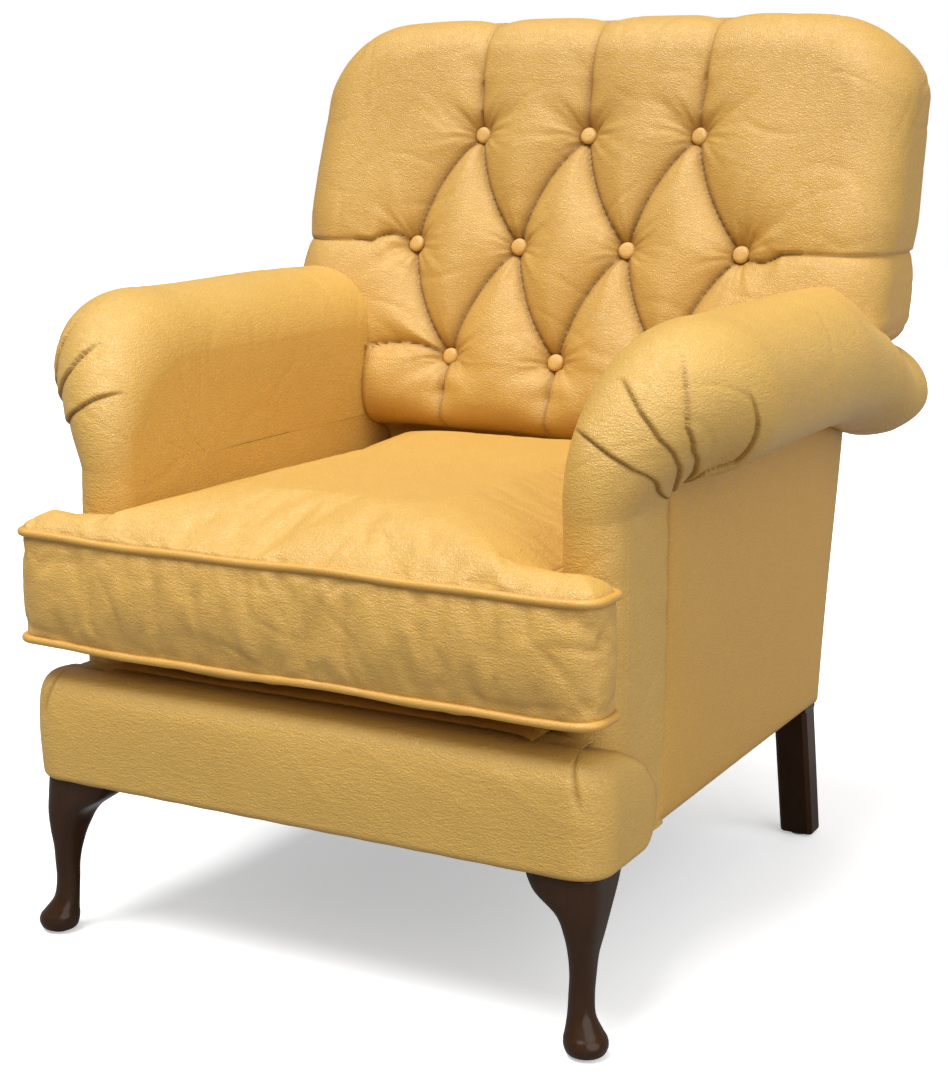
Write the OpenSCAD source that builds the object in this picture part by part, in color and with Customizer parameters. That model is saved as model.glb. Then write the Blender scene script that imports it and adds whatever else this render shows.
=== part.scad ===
// Upholstered armchair with scroll arms, a deep-buttoned back, a loose T-shaped seat cushion
// and cabriole front legs. All sizes are in millimetres.
// The chair faces -Y and +Z is up. "left" and "right" are as seen by someone facing the chair,
// so "right" is +X. The origin is on the floor under the middle of the chair.

/* [Seat and base] */
// Clear width between the two inside arms
seat_w = 480; // [400:5:600]
// From the face of the front border to the foot of the outside back
base_d = 640; // [540:5:760]
// From the floor to the underside of the upholstered base
leg_h = 166; // [140:1:200]
// Height of the four seat rails
rail_h = 90; // [70:1:110]
// Thickness of the seat rails
rail_t = 25; // [20:1:30]
// How far the front border stands out past the outside arms
border_stand = 19; // [14:1:24]
// How far the front border runs back along each side
border_wrap = 132; // [110:1:150]
// Thickness of the stuffed deck under the cushion
deck_t = 26; // [18:1:34]

/* [Arms] */
// From the inside arm to the outside arm, below the scroll
arm_w = 60; // [50:1:76]
// Height of the top of the arms
arm_top = 648; // [600:1:720]
// Radius of the scroll
scroll_r = 80; // [70:1:90]
// From the border face back to the front of the arm
arm_set_back = 60; // [56:1:80]
// How far the rear end of the scroll stands out behind the outside back
scroll_past = 14; // [4:1:24]

/* [Back] */
// Overall height of the chair
back_top = 937; // [880:1:1000]
// How far the wide upper back reaches past each inside arm
back_wing = 131; // [116:1:146]
// Height of the underside of the wide upper back
wing_z = 588; // [570:1:600]
// Depth of the seat in front of the back's face, at arm height
back_face_d = 564; // [470:2:680]
// Lean of the back's face
face_rake = 18; // [12:1:22]
// Lean of the outside back
rear_rake = 10; // [6:1:12]
// Radius of the rolled top edge
top_roll_r = 62; // [50:1:66]

/* [Buttons] */
// Diameter of the covered buttons
button_d = 21; // [16:1:26]
// Distance between buttons in a row
button_gap_x = 137; // [100:1:150]
// Distance between rows, up the chair
button_gap_z = 127; // [100:1:135]
// Height of the lowest row of buttons
button_low_z = 556; // [520:1:580]
// Depth of the buttons behind the face of the back
button_sink = 27; // [18:1:34]

/* [Cushion] */
// Height of the cushion border, between its two rows of piping
border_h = 108; // [80:1:130]
// How far the cushion's top rises above its border
crown_h = 46; // [30:1:50]
// How far the cushion's underside hangs below its border
belly_h = 20; // [12:1:28]
// How far the cushion overhangs the front border
cushion_over = 10; // [4:1:24]
// Front to back depth of the ears in front of the arms
ear_d = 58; // [44:1:60]
// Diameter of the piping
piping_d = 9; // [6:1:10]

/* [Legs] */
// Width of the square rear legs
rear_leg_w = 39; // [34:1:46]
// Depth of the rear legs and back posts
rear_leg_d = 35; // [30:1:40]
// How far the rear feet stand out behind the foot of the outside back
rear_kick = 34; // [20:1:50]

/* [Materials] */
// Thickness of the leather covers
cover_t = 2; // [1.5:0.5:3]
// Thickness of the outside panels, leather on its lining
panel_t = 3; // [2:0.5:4]

/* [Hidden] */
$fn = 64;

// Widths, from the middle of the chair
seat_half = seat_w / 2;
panel_half = seat_half + arm_w;
timber_half = panel_half - panel_t;
border_half = panel_half + border_stand;
wing_half = seat_half + back_wing;
scroll_x = seat_half + scroll_r - 1;

// Heights
rail_z0 = leg_h + 6;
rail_z1 = rail_z0 + rail_h;
deck_z = rail_z1 + deck_t;
edge_top_z = deck_z - 9;
piping_low_z = deck_z + belly_h + 4;
piping_top_z = piping_low_z + border_h;
scroll_z = arm_top - scroll_r;
roll_z = back_top - top_roll_r;

// Outside back: y of its two faces at height z, and the rolled top that it runs into
function rear_y(z) = base_d + tan(rear_rake) * (z - leg_h);
function inner_rear_y(z) = rear_y(z) - panel_t / cos(rear_rake);
roll_foot_z = roll_z - top_roll_r * sin(rear_rake);
roll_seam_drop = sqrt(2 * top_roll_r * panel_t) + 1;
roll_y = rear_y(roll_foot_z) - top_roll_r * cos(rear_rake);

// Inside back: y of its face at height z
function face_y(z) = back_face_d + tan(face_rake) * (z - arm_top);
back_foot_y = back_face_d + 24;
back_foot_z = piping_top_z + crown_h + 8;

// The origin is half way between the front of the cushion and the back of the rolled top
front_most = -cushion_over - piping_d / 2;
rear_most = roll_y + top_roll_r;
mid_y = (front_most + rear_most) / 2;

// Arms
arm_z0 = rail_z1 + 1.5;
scroll_front_y = arm_set_back + scroll_r + 10;
scroll_end_y = rear_y(scroll_z) + scroll_past;
outside_arm_y = arm_set_back + 126;
arm_front_r = arm_w / 2 - 4;
arm_rail_t = 22;
arm_post_w = 30;
arm_post_d = 45;
scroll_board_t = 18;
scroll_board_y = arm_set_back + 100;
arm_post_y = scroll_board_y + scroll_board_t;

// Frame inside the back, all measured forward from the outside back's rear face
post_front = panel_t + rear_leg_d;
back_rail_t = 22;
back_frame_d = post_front + back_rail_t;
webbing_t = 1.5;
frame_margin = 28;
top_rail_drop = 50;
top_rail_h = 60;
wing_rail_h = 45;

// Cushion
cushion_gap = 6;
cushion_half = seat_half - cushion_gap;
ear_half = border_half - 3;
cushion_front_y = -cushion_over;
cushion_rear_y = back_foot_y - cushion_gap;
cushion_mid_y = (cushion_front_y + cushion_rear_y) / 2;
ear_mid_y = cushion_front_y + ear_d / 2;
crown_scale = 0.88;
ear_swell = 0.45;

// Legs
glide_h = 3;
bolt_r = 4;
bolt_z = rail_z0 + rail_h / 2;
leg_block_w = 46;
leg_block_y = rail_t - 5;
rear_post_x = timber_half - rear_leg_w;

// Moves a piece from the front border's frame to the chair's own origin
module placed() {
    translate([0, -mid_y, 0]) children();
}

// Draws the piece on the +X side, or its mirror image on the -X side
module side(right) {
    mirror([right ? 0 : 1, 0, 0]) children();
}

// A plain block between two corners
module block(low, high) {
    translate(low) cube(high - low);
}

// Plate of thickness t drawn in (y, z) and standing between x and x + t
module side_plate(x, t) {
    translate([x, 0, 0]) rotate([90, 0, 90]) linear_extrude(t) children();
}

// Rectangle with round corners, drawn from its two corners
module round_rect(low, high, r) {
    translate([low.x + r, low.y]) square([high.x - low.x - 2 * r, high.y - low.y]);
    translate([low.x, low.y + r]) square([high.x - low.x, high.y - low.y - 2 * r]);
    for (x = [low.x + r, high.x - r], y = [low.y + r, high.y - r])
        translate([x, y]) circle(r);
}

// Places children in the plane of the outside back: x across, y out of the back, z up its slope
module on_rear_plane() {
    translate([0, base_d, leg_h]) rotate([-rear_rake, 0, 0]) children();
}
function up_rear(z) = (z - leg_h) / cos(rear_rake);

// ---------------------------------------------------------------- frame

module front_rail() {
    x = timber_half - leg_block_w;
    color("burlywood") placed()
        block([-x, leg_block_y, rail_z0], [x, leg_block_y + rail_t, rail_z1]);
}

module rear_rail() {
    y = inner_rear_y(rail_z0) - rail_t;
    color("burlywood") placed()
        block([-rear_post_x, y - 4, rail_z0], [rear_post_x, y - 4 + rail_t, rail_z1]);
}

module side_rail(right) {
    color("burlywood") placed() side(right) difference() {
        block([timber_half - rail_t, leg_block_y + leg_block_w, rail_z0],
            [timber_half, inner_rear_y(rail_z1) - rear_leg_d + 1, rail_z1]);
        rear_post_solid();
    }
}
module side_rail_left() { side_rail(false); }
module side_rail_right() { side_rail(true); }

// Blocks glued and screwed into the four inner corners of the rails
module corner_blocks() {
    z0 = rail_z0 + 20;
    z1 = rail_z1 - 18;
    reach = 38;
    inner_x = timber_half - rail_t;
    leg_x = timber_half - leg_block_w;
    rail_y = leg_block_y + rail_t;
    leg_y = leg_block_y + leg_block_w;
    rear_rail_y = inner_rear_y(rail_z0) - rail_t - 4;
    color("tan") placed() for (right = [false, true]) side(right) difference() {
        translate([0, 0, z0]) linear_extrude(z1 - z0) {
            polygon([[leg_x - reach, rail_y], [leg_x, rail_y], [leg_x, leg_y],
                [inner_x, leg_y], [inner_x, leg_y + reach]]);
            polygon([[inner_x - 2 * reach, rear_rail_y], [inner_x, rear_rail_y],
                [inner_x, rear_rail_y - 2 * reach]]);
        }
        rear_post_solid();
        bolt_shapes();
    }
}

// Leg bolts: each front one runs on the diagonal into the leg, each rear one straight back
module bolt_shapes() {
    leg_x = timber_half - leg_block_w;
    leg_y = leg_block_y + leg_block_w;
    translate([leg_x, leg_y, bolt_z]) rotate([0, 90, -45]) {
        translate([0, 0, -38]) cylinder(r = bolt_r, h = 66);
        translate([0, 0, -44]) cylinder(r = 2 * bolt_r, h = 6);
    }
    translate([rear_post_x + 5, rear_y(bolt_z) - 100, bolt_z]) rotate([-90, 0, 0]) {
        cylinder(r = bolt_r, h = 82);
        translate([0, 0, -6]) cylinder(r = 2 * bolt_r, h = 6);
    }
}
module leg_bolts() {
    color("silver") placed() for (right = [false, true]) side(right) bolt_shapes();
}

// ---------------------------------------------------------------- legs

// Front leg: sections from the floor up, each [height as a share of the leg, distance in from
// the outside arm, distance back from the border face, half width, half depth, squareness]
LEG = [[0.02, 0, 16, 15, 15, 2], [0.035, 0, 16, 18, 18, 2], [0.07, 0, 16, 20.5, 20.5, 2],
    [0.14, 3, 18, 17.5, 17.5, 2], [0.22, 7, 21, 13, 13, 2], [0.33, 8, 23, 12, 12, 2],
    [0.44, 7.5, 24, 11.5, 13.5, 2.2], [0.55, 8, 26, 12.5, 17, 2.5],
    [0.66, 8.5, 29, 15.5, 22, 3], [0.78, 12, 33.5, 21, 27.5, 3.6],
    [0.89, 23.5, 41, 32.5, 35, 4.5], [1, 29, 48, 37, 41, 5]];
leg_rings = 36;
leg_sides = 32;

// Smooth curve through the sections, after Catmull and Rom
function spline(a, b, c, d, t) =
    b + t * (c - a) / 2 + t * t * (2 * a - 5 * b + 4 * c - d) / 2
    + t * t * t * (3 * b - 3 * c + d - a) / 2;
function leg_at(u) = let (
    last = len(LEG) - 1, i = min(floor(u * last), last - 1), t = u * last - i)
    spline(LEG[max(i - 1, 0)], LEG[i], LEG[i + 1], LEG[min(i + 2, last)], t);
function signed_power(v, p) = sign(v) * pow(abs(v), p);
function leg_ring(s) = [for (k = [0:leg_sides - 1]) let (a = 360 * k / leg_sides) [
    panel_half - s[1] + s[3] * signed_power(cos(a), 2 / s[5]),
    s[2] + s[4] * signed_power(sin(a), 2 / s[5]),
    s[0] * leg_h]];
function ring_faces(rings, sides) = concat(
    [[for (k = [0:sides - 1]) k]],
    [for (i = [0:rings - 2], k = [0:sides - 1]) let (n = (k + 1) % sides)
        [i * sides + k, (i + 1) * sides + k, (i + 1) * sides + n, i * sides + n]],
    [[for (k = [sides - 1:-1:0]) (rings - 1) * sides + k]]);

module front_leg(right) {
    points = [for (i = [0:leg_rings - 1]) each leg_ring(leg_at(i / (leg_rings - 1)))];
    color([0.23, 0.11, 0.06]) placed() side(right) difference() {
        union() {
            polyhedron(points, ring_faces(leg_rings, leg_sides));
            block([timber_half - leg_block_w, leg_block_y, leg_h - 1],
                [timber_half, leg_block_y + leg_block_w, rail_z1]);
        }
        bolt_shapes();
    }
}
module front_leg_left() { front_leg(false); }
module front_leg_right() { front_leg(true); }

// Rear leg and back post, sawn from one board with a bend at the seat rails
module rear_post_solid() {
    foot_y = base_d + rear_kick;
    top_z = roll_foot_z - 10;
    side_plate(rear_post_x, rear_leg_w) polygon([
        [foot_y, glide_h], [inner_rear_y(leg_h), leg_h], [inner_rear_y(top_z), top_z],
        [inner_rear_y(top_z) - rear_leg_d, top_z], [inner_rear_y(leg_h) - rear_leg_d, leg_h],
        [foot_y - rear_leg_d + 2, glide_h]]);
}
module rear_leg_post(right) {
    color([0.23, 0.11, 0.06]) placed() side(right) difference() {
        rear_post_solid();
        bolt_shapes();
    }
}
module rear_leg_post_left() { rear_leg_post(false); }
module rear_leg_post_right() { rear_leg_post(true); }

// Nail-on glides under the four feet
module glides() {
    color("silver") placed() for (right = [false, true]) side(right) {
        translate([panel_half, LEG[0][2], 0]) cylinder(r = 10, h = glide_h);
        translate([rear_post_x + rear_leg_w / 2, base_d + rear_kick - rear_leg_d / 2, 0])
            cylinder(r = 10, h = glide_h);
    }
}

// ---------------------------------------------------------------- arm frame

module arm_post_solid() {
    x = timber_half - arm_post_w;
    block([x, arm_post_y, rail_z1], [timber_half, arm_post_y + arm_post_d, scroll_z - arm_rail_t]);
}
module arm_post(right) {
    color("burlywood") placed() side(right) arm_post_solid();
}
module arm_post_left() { arm_post(false); }
module arm_post_right() { arm_post(true); }

// Flat rail under the scroll, notched round the back post
module arm_rail_solid() {
    difference() {
        block([timber_half - arm_post_w, arm_post_y, scroll_z - arm_rail_t],
            [scroll_x + 24, scroll_end_y - 20, scroll_z]);
        rear_post_solid();
        block([0, face_y(arm_top), 0], [timber_half, rear_most, back_top]);
    }
}
module arm_rail(right) {
    color("burlywood") placed() side(right) arm_rail_solid();
}
module arm_rail_left() { arm_rail(false); }
module arm_rail_right() { arm_rail(true); }

// Rail low in the arm that the inside arm is tacked to
module arm_tack_rail_solid() {
    difference() {
        block([timber_half - rail_t, arm_post_y + arm_post_d, deck_z + 20],
            [timber_half, inner_rear_y(deck_z) - rear_leg_d + 15, deck_z + 60]);
        rear_post_solid();
    }
}
module arm_tack_rail(right) {
    color("burlywood") placed() side(right) arm_tack_rail_solid();
}
module arm_tack_rail_left() { arm_tack_rail(false); }
module arm_tack_rail_right() { arm_tack_rail(true); }

// Round board on the front end of the arm rail, which the stuffing of the scroll is built over
module scroll_board_solid() {
    translate([scroll_x, scroll_board_y, scroll_z]) rotate([-90, 0, 0])
        cylinder(r = scroll_r - 46, h = scroll_board_t);
}
module scroll_board(right) {
    color("burlywood") placed() side(right) scroll_board_solid();
}
module scroll_board_left() { scroll_board(false); }
module scroll_board_right() { scroll_board(true); }

// ---------------------------------------------------------------- back frame

// A board across the back, in front of the posts, with its top corners rounded
module back_board(half, low, high, r) {
    on_rear_plane() translate([0, -post_front, 0]) rotate([90, 0, 0])
        linear_extrude(back_rail_t) round_rect([-half, low], [half, high], r);
}
module back_top_rail_solid() {
    top = up_rear(back_top) - top_rail_drop;
    back_board(wing_half - frame_margin, top - top_rail_h, top, 28);
}
module back_top_rail() {
    color("burlywood") placed() back_top_rail_solid();
}
module back_wing_rail_solid() {
    low = up_rear(wing_z) + frame_margin;
    back_board(wing_half - frame_margin, low, low + wing_rail_h, 20);
}
module back_wing_rail() {
    color("burlywood") placed() back_wing_rail_solid();
}
module back_tack_rail_solid() {
    low = up_rear(deck_z + 20);
    back_board(seat_half - 4, low, low + 40, 3);
}
module back_tack_rail() {
    color("burlywood") placed() back_tack_rail_solid();
}

// ---------------------------------------------------------------- seat suspension

// Jute webbing under the rails, the two sets of straps one over the other
module seat_webbing() {
    web_w = 50;
    half = timber_half - 4;
    y0 = leg_block_y + leg_block_w + 4;
    y1 = inner_rear_y(rail_z0) - rear_leg_d - 4;
    long_x = half - rear_leg_w - web_w;
    color("peru") placed() {
        for (i = [0:3]) {
            x = -long_x + i * (2 * long_x - web_w) / 3;
            block([x, leg_block_y + 2, rail_z0 - webbing_t],
                [x + web_w, y1, rail_z0]);
        }
        for (i = [0:3]) {
            y = y0 + i * (y1 - y0 - web_w) / 3;
            block([-half, y, rail_z0 - 2 * webbing_t], [half, y + web_w, rail_z0 - webbing_t]);
        }
    }
}

// Nine hourglass coil springs between the webbing and the hessian
wire_r = 1.8;
spring_turns = 4;
spring_steps = 56;
wire_sides = 5;
function spring_r(u) = 26 + 12 * pow(2 * u - 1, 2);
function spring_ring(i) = let (
    u = i / spring_steps, a = 360 * spring_turns * u,
    z = rail_z0 + wire_r + 0.4 + u * (rail_h - 2 * wire_r - 0.8))
    [for (k = [0:wire_sides - 1]) let (
        b = 360 * k / wire_sides, r = spring_r(u) + wire_r * cos(b))
        [r * cos(a), r * sin(a), z + wire_r * sin(b)]];
module coil_spring() {
    points = [for (i = [0:spring_steps]) each spring_ring(i)];
    polyhedron(points, [for (f = ring_faces(spring_steps + 1, wire_sides))
        [for (k = [len(f) - 1:-1:0]) f[k]]]);
}
module seat_springs() {
    gap_x = (seat_w - 160) / 2;
    gap_y = (base_d - 300) / 2;
    color("slategray") placed() for (i = [-1:1], j = [-1:1])
        translate([i * gap_x, base_d / 2 - 10 + j * gap_y, 0]) coil_spring();
}

module spring_hessian() {
    x = timber_half - arm_post_w - 4;
    color("tan") placed() block([-x, leg_block_y + 10, rail_z1],
        [x, inner_rear_y(rail_z0) - rear_leg_d - 4, rail_z1 + webbing_t]);
}

// Stuffed deck that the cushion lies on, and the leather over it
module deck_pad() {
    color("wheat") placed() block([1 - seat_half, arm_set_back, rail_z1 + webbing_t],
        [seat_half - 1, back_foot_y - 1, deck_z - cover_t]);
}
module deck_cover() {
    color([0.80, 0.62, 0.34]) placed() block([1 - seat_half, arm_set_back, deck_z - cover_t],
        [seat_half - 1, back_foot_y - 1, deck_z]);
}

// ---------------------------------------------------------------- front border

// Outline of the front edge and its two wings, drawn in plan and set in by d
module border_plan(d) {
    difference() {
        round_rect([-border_half + d, d], [border_half - d, 2 * border_wrap], 36 - d);
        translate([-border_half, border_wrap - d]) square([2 * border_half, 2 * border_wrap]);
    }
}
// Room for the rails, the legs, the deck and the arms
module border_room() {
    block([-timber_half, leg_block_y, leg_h - 1], [timber_half, 2 * border_wrap, rail_z1 + webbing_t]);
    block([-panel_half, arm_set_back, leg_h - 1],
        [panel_half, 2 * border_wrap, deck_z + 1]);
}
module front_edge_pad() {
    color("wheat") placed() difference() {
        translate([0, 0, leg_h + cover_t])
            linear_extrude(edge_top_z - leg_h - 2 * cover_t) border_plan(cover_t);
        border_room();
    }
}
module front_border() {
    color([0.83, 0.65, 0.36]) placed() difference() {
        translate([0, 0, leg_h]) linear_extrude(edge_top_z - leg_h) border_plan(0);
        translate([0, 0, leg_h + cover_t])
            linear_extrude(edge_top_z - leg_h - 2 * cover_t) border_plan(cover_t);
        border_room();
    }
}

// ---------------------------------------------------------------- back

// Webbing on the front of the back rails
module back_webbing() {
    web_w = 50;
    low = up_rear(deck_z + 20);
    top = up_rear(roll_foot_z) - 8;
    color("peru") placed() on_rear_plane() for (i = [0:3])
        translate([-seat_half + 24 + i * (seat_w - 48 - web_w) / 3,
            -back_frame_d - webbing_t, low])
            cube([web_w, webbing_t, top - low]);
}

// Side view of the back below its rolled top: from its foot, round its rolled lower edge, up the
// sloping face and down the outside back, which it can run past by an amount
module back_side_view(d, past) {
    lip_z = back_foot_z + 50;
    face_end_z = roll_z + top_roll_r * sin(face_rake);
    polygon([[back_foot_y + d, deck_z], [back_foot_y + d, back_foot_z],
        [back_foot_y - 40 + d, back_foot_z + 4], [face_y(lip_z) + d, lip_z],
        [face_y(face_end_z) + d, face_end_z], [roll_y, roll_z],
        [inner_rear_y(roll_foot_z) + past, roll_foot_z],
        [inner_rear_y(deck_z) + past, deck_z]]);
}
// Front view of the back: wide above the arms, narrow between them
module back_front_view(d) {
    round_rect([-wing_half + d, wing_z + d], [wing_half - d, back_top + 3 - d], 60 - d);
    translate([2 - seat_half + d, deck_z]) square([seat_w - 4 - 2 * d, back_top - 80 - deck_z]);
}
module back_shape(d, past = 0) {
    intersection() {
        union() {
            side_plate(-wing_half - 5, 2 * wing_half + 10) back_side_view(d, past);
            translate([-wing_half - 5, roll_y, roll_z]) rotate([0, 90, 0])
                cylinder(r = top_roll_r - d, h = 2 * wing_half + 10);
        }
        translate([0, rear_most + 10, 0]) rotate([90, 0, 0])
            linear_extrude(rear_most) back_front_view(d);
    }
}
// The space behind the stuffing, for the rails, the posts and the webbing
module back_frame_room() {
    low = up_rear(wing_z) + frame_margin;
    on_rear_plane() translate([0, panel_t, 0]) rotate([90, 0, 0])
        linear_extrude(back_frame_d + webbing_t + panel_t) {
            round_rect([-wing_half + frame_margin - 1, low],
                [wing_half - frame_margin + 1, up_rear(roll_foot_z) - 6], 18);
            translate([-seat_half, 0]) square([seat_w, low + 60]);
        }
    back_top_rail_solid();
    for (right = [false, true]) side(right) rear_post_solid();
}
// Positions of the buttons, in rows of three, four and three
BUTTONS = [for (row = [0:2]) let (count = row == 1 ? 4 : 3) for (i = [0:count - 1])
    [(i - (count - 1) / 2) * button_gap_x, button_low_z + row * button_gap_z]];
// Places children at every button, with z out of the face of the back
module at_buttons() {
    for (b = BUTTONS) translate([b.x, face_y(b.y) + button_sink, b.y])
        rotate([90 - face_rake, 0, 0]) children();
}
module button_pockets() {
    at_buttons() cylinder(r = button_d / 2 + 4, h = button_sink + 10);
}
module back_pad() {
    color("wheat") placed() difference() {
        back_shape(cover_t);
        back_frame_room();
        button_pockets();
    }
}
module inside_back_cover() {
    color([0.83, 0.65, 0.36]) placed() difference() {
        back_shape(0);
        back_shape(cover_t, past = 5);
        back_frame_room();
        button_pockets();
    }
}
module back_buttons() {
    color([0.86, 0.69, 0.40]) placed() at_buttons() {
        cylinder(r = button_d / 2, h = 4);
        translate([0, 0, 4]) cylinder(r1 = button_d / 2, r2 = button_d / 2 - 3, h = 3);
    }
}

// Flat panel that closes the chair from behind, up to the foot of the rolled top
module outside_back_solid() {
    on_rear_plane() rotate([90, 0, 0]) linear_extrude(panel_t) {
        round_rect([-wing_half + 10, up_rear(wing_z) + 8],
            [wing_half - 10, up_rear(roll_foot_z) - roll_seam_drop], 40);
        translate([-panel_half, 0]) square([2 * panel_half, up_rear(scroll_z - scroll_r) - 4]);
        translate([2 - seat_half, 0]) square([seat_w - 4, up_rear(wing_z) + 60]);
    }
}
module outside_back() {
    color([0.80, 0.62, 0.34]) placed() outside_back_solid();
}

// ---------------------------------------------------------------- arms

// Solid shape of an arm: an upright slab with a rounded front, and the scroll on top of it
module arm_shape(d) {
    front = arm_set_back + d;
    translate([0, 0, arm_z0]) linear_extrude(scroll_z - arm_z0) {
        round_rect([seat_half + d, front], [panel_half - d, outside_arm_y], arm_front_r);
        translate([seat_half + d, front + arm_w])
            square([arm_w - panel_t - d, base_d]);
        translate([panel_half - panel_t - 1, front + arm_w])
            square([panel_t + 1 - d, outside_arm_y - front - arm_w]);
    }
    translate([scroll_x, scroll_front_y, scroll_z]) rotate([-90, 0, 0])
        scroll_bar(scroll_r - d, scroll_end_y - scroll_front_y - d);
}
// Round bar with a domed front end, slightly flattened in the middle
module scroll_bar(r, length) {
    rotate_extrude() {
        intersection() {
            circle(r);
            translate([0, 2 - r]) square(r);
        }
        square([r, length]);
    }
}
// What the arms make room for: the outside back, the wide upper back and its face
module arm_limits() {
    gap = 1;
    on_rear_plane() translate([0, -panel_t, -leg_h])
        cube([panel_half, 200, up_rear(scroll_z - scroll_r + 10) + leg_h]);
    side_plate(0, scroll_x + 2 * scroll_r) polygon([[face_y(wing_z) - gap, wing_z - gap],
        [face_y(arm_top + 20) - gap, arm_top + 20], [rear_most + 50, arm_top + 20],
        [rear_most + 50, wing_z - gap]]);
}
// The room inside the arm for its frame
module arm_frame_room() {
    difference() {
        block([timber_half - arm_post_w - 4, arm_post_y, leg_h],
            [panel_half + 1, rear_most, scroll_z - arm_rail_t]);
        block([timber_half, 0, 0], [panel_half + 2, outside_arm_y - 4, back_top]);
    }
    arm_rail_solid();
    scroll_board_solid();
    rear_post_solid();
    outside_arm_solid(panel_t + 1);
}
module arm_pad(right) {
    color("wheat") placed() side(right) difference() {
        arm_shape(cover_t);
        arm_limits();
        arm_frame_room();
    }
}
module arm_pad_left() { arm_pad(false); }
module arm_pad_right() { arm_pad(true); }

module inside_arm(right) {
    color([0.83, 0.65, 0.36]) placed() side(right) difference() {
        union() {
            arm_shape(0);
            block([timber_half, border_wrap, leg_h], [panel_half, outside_arm_y, arm_z0 + 20]);
        }
        arm_shape(cover_t);
        arm_limits();
        arm_frame_room();
    }
}
module inside_arm_left() { inside_arm(false); }
module inside_arm_right() { inside_arm(true); }

// Outside arm panel, with its front edge following the seam
module outside_arm_solid(t) {
    low = leg_h;
    high = scroll_z - scroll_r - 2;
    side_plate(timber_half, t) polygon([[outside_arm_y - 24, low],
        [outside_arm_y, deck_z], [outside_arm_y + 2, high - 60], [outside_arm_y + 26, high],
        [inner_rear_y(high), high], [inner_rear_y(low), low]]);
}
module outside_arm(right) {
    color([0.80, 0.62, 0.34]) placed() side(right) outside_arm_solid(panel_t);
}
module outside_arm_left() { outside_arm(false); }
module outside_arm_right() { outside_arm(true); }

// Black cloth tacked under the seat
module dust_cover() {
    z = rail_z0 - 2 * webbing_t - 1;
    color("dimgray") placed() difference() {
        block([-timber_half + 2, leg_block_y + 2, z], [timber_half - 2, base_d - panel_t - 4, z + 1]);
        for (right = [false, true]) side(right) {
            block([panel_half - 72, 0, 0], [panel_half + 10, 96, leg_h + 20]);
            rear_post_solid();
        }
    }
}

// ---------------------------------------------------------------- loose cushion

// T-shaped outline of the cushion in two overlapping parts, set in by d
module cushion_body_plan(d) {
    round_rect([-cushion_half + d, cushion_front_y + d], [cushion_half - d, cushion_rear_y - d], 20);
}
module cushion_ear_plan(d) {
    round_rect([-ear_half + d, cushion_front_y + d],
        [ear_half - d, cushion_front_y + ear_d - d], 18);
}
module cushion_plan(d) {
    cushion_body_plan(d);
    cushion_ear_plan(d);
}
// A swelling of height h on the outline, drawn upwards from z = 0 and lower on the ears
module swell(h, d) {
    translate([0, cushion_mid_y, 0]) linear_extrude(h - d, scale = crown_scale)
        translate([0, -cushion_mid_y]) cushion_body_plan(d);
    translate([0, ear_mid_y, 0]) linear_extrude(ear_swell * h - d, scale = crown_scale)
        translate([0, -ear_mid_y]) cushion_ear_plan(d);
}
module top_swell(h, d) {
    translate([0, 0, piping_top_z]) swell(h, d);
}
module bottom_swell(h, d) {
    translate([0, 0, piping_low_z]) mirror([0, 0, 1]) swell(h, d);
}
module cushion_core() {
    color("white") placed() {
        translate([0, 0, piping_low_z]) linear_extrude(border_h) cushion_plan(cover_t);
        top_swell(crown_h, cover_t);
        bottom_swell(belly_h, cover_t);
    }
}
module cushion_top_panel() {
    color([0.88, 0.71, 0.42]) placed() difference() {
        top_swell(crown_h, 0);
        top_swell(crown_h, cover_t);
    }
}
module cushion_bottom_panel() {
    color([0.80, 0.62, 0.34]) placed() difference() {
        bottom_swell(belly_h, 0);
        bottom_swell(belly_h, cover_t);
    }
}
module cushion_boxing() {
    color([0.83, 0.65, 0.36]) placed() translate([0, 0, piping_low_z])
        linear_extrude(border_h) difference() {
            cushion_plan(0);
            cushion_plan(cover_t);
        }
}
module piping_ring(z) {
    color([0.78, 0.60, 0.32]) placed() translate([0, 0, z - piping_d / 2])
        linear_extrude(piping_d) difference() {
            cushion_plan(-piping_d / 2);
            cushion_plan(0);
        }
}
module cushion_piping_top() { piping_ring(piping_top_z); }
module cushion_piping_bottom() { piping_ring(piping_low_z); }

// Zip in the rear of the cushion border, with its running slider
zip_half = 170;
zip_z = (piping_low_z + piping_top_z) / 2;
tape_t = 1;
teeth_t = 1.2;
slider_w = 8;
slider_gap = 0.4;
module cushion_zip() {
    y = cushion_rear_y;
    color("dimgray") placed() {
        block([-zip_half, y, zip_z - 12], [zip_half, y + tape_t, zip_z + 12]);
        block([-zip_half, y + tape_t, zip_z - 2.5],
            [zip_half, y + tape_t + teeth_t, zip_z + 2.5]);
    }
}
module zip_slider() {
    x = -zip_half + 4;
    y = cushion_rear_y + tape_t + teeth_t + slider_gap;
    color("silver") placed() {
        block([x, y, zip_z - 5], [x + slider_w, y + 1.6, zip_z + 5]);
        block([x + 2, y + 0.4, zip_z - 24], [x + slider_w - 2, y + 1.4, zip_z - 5]);
    }
}

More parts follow.
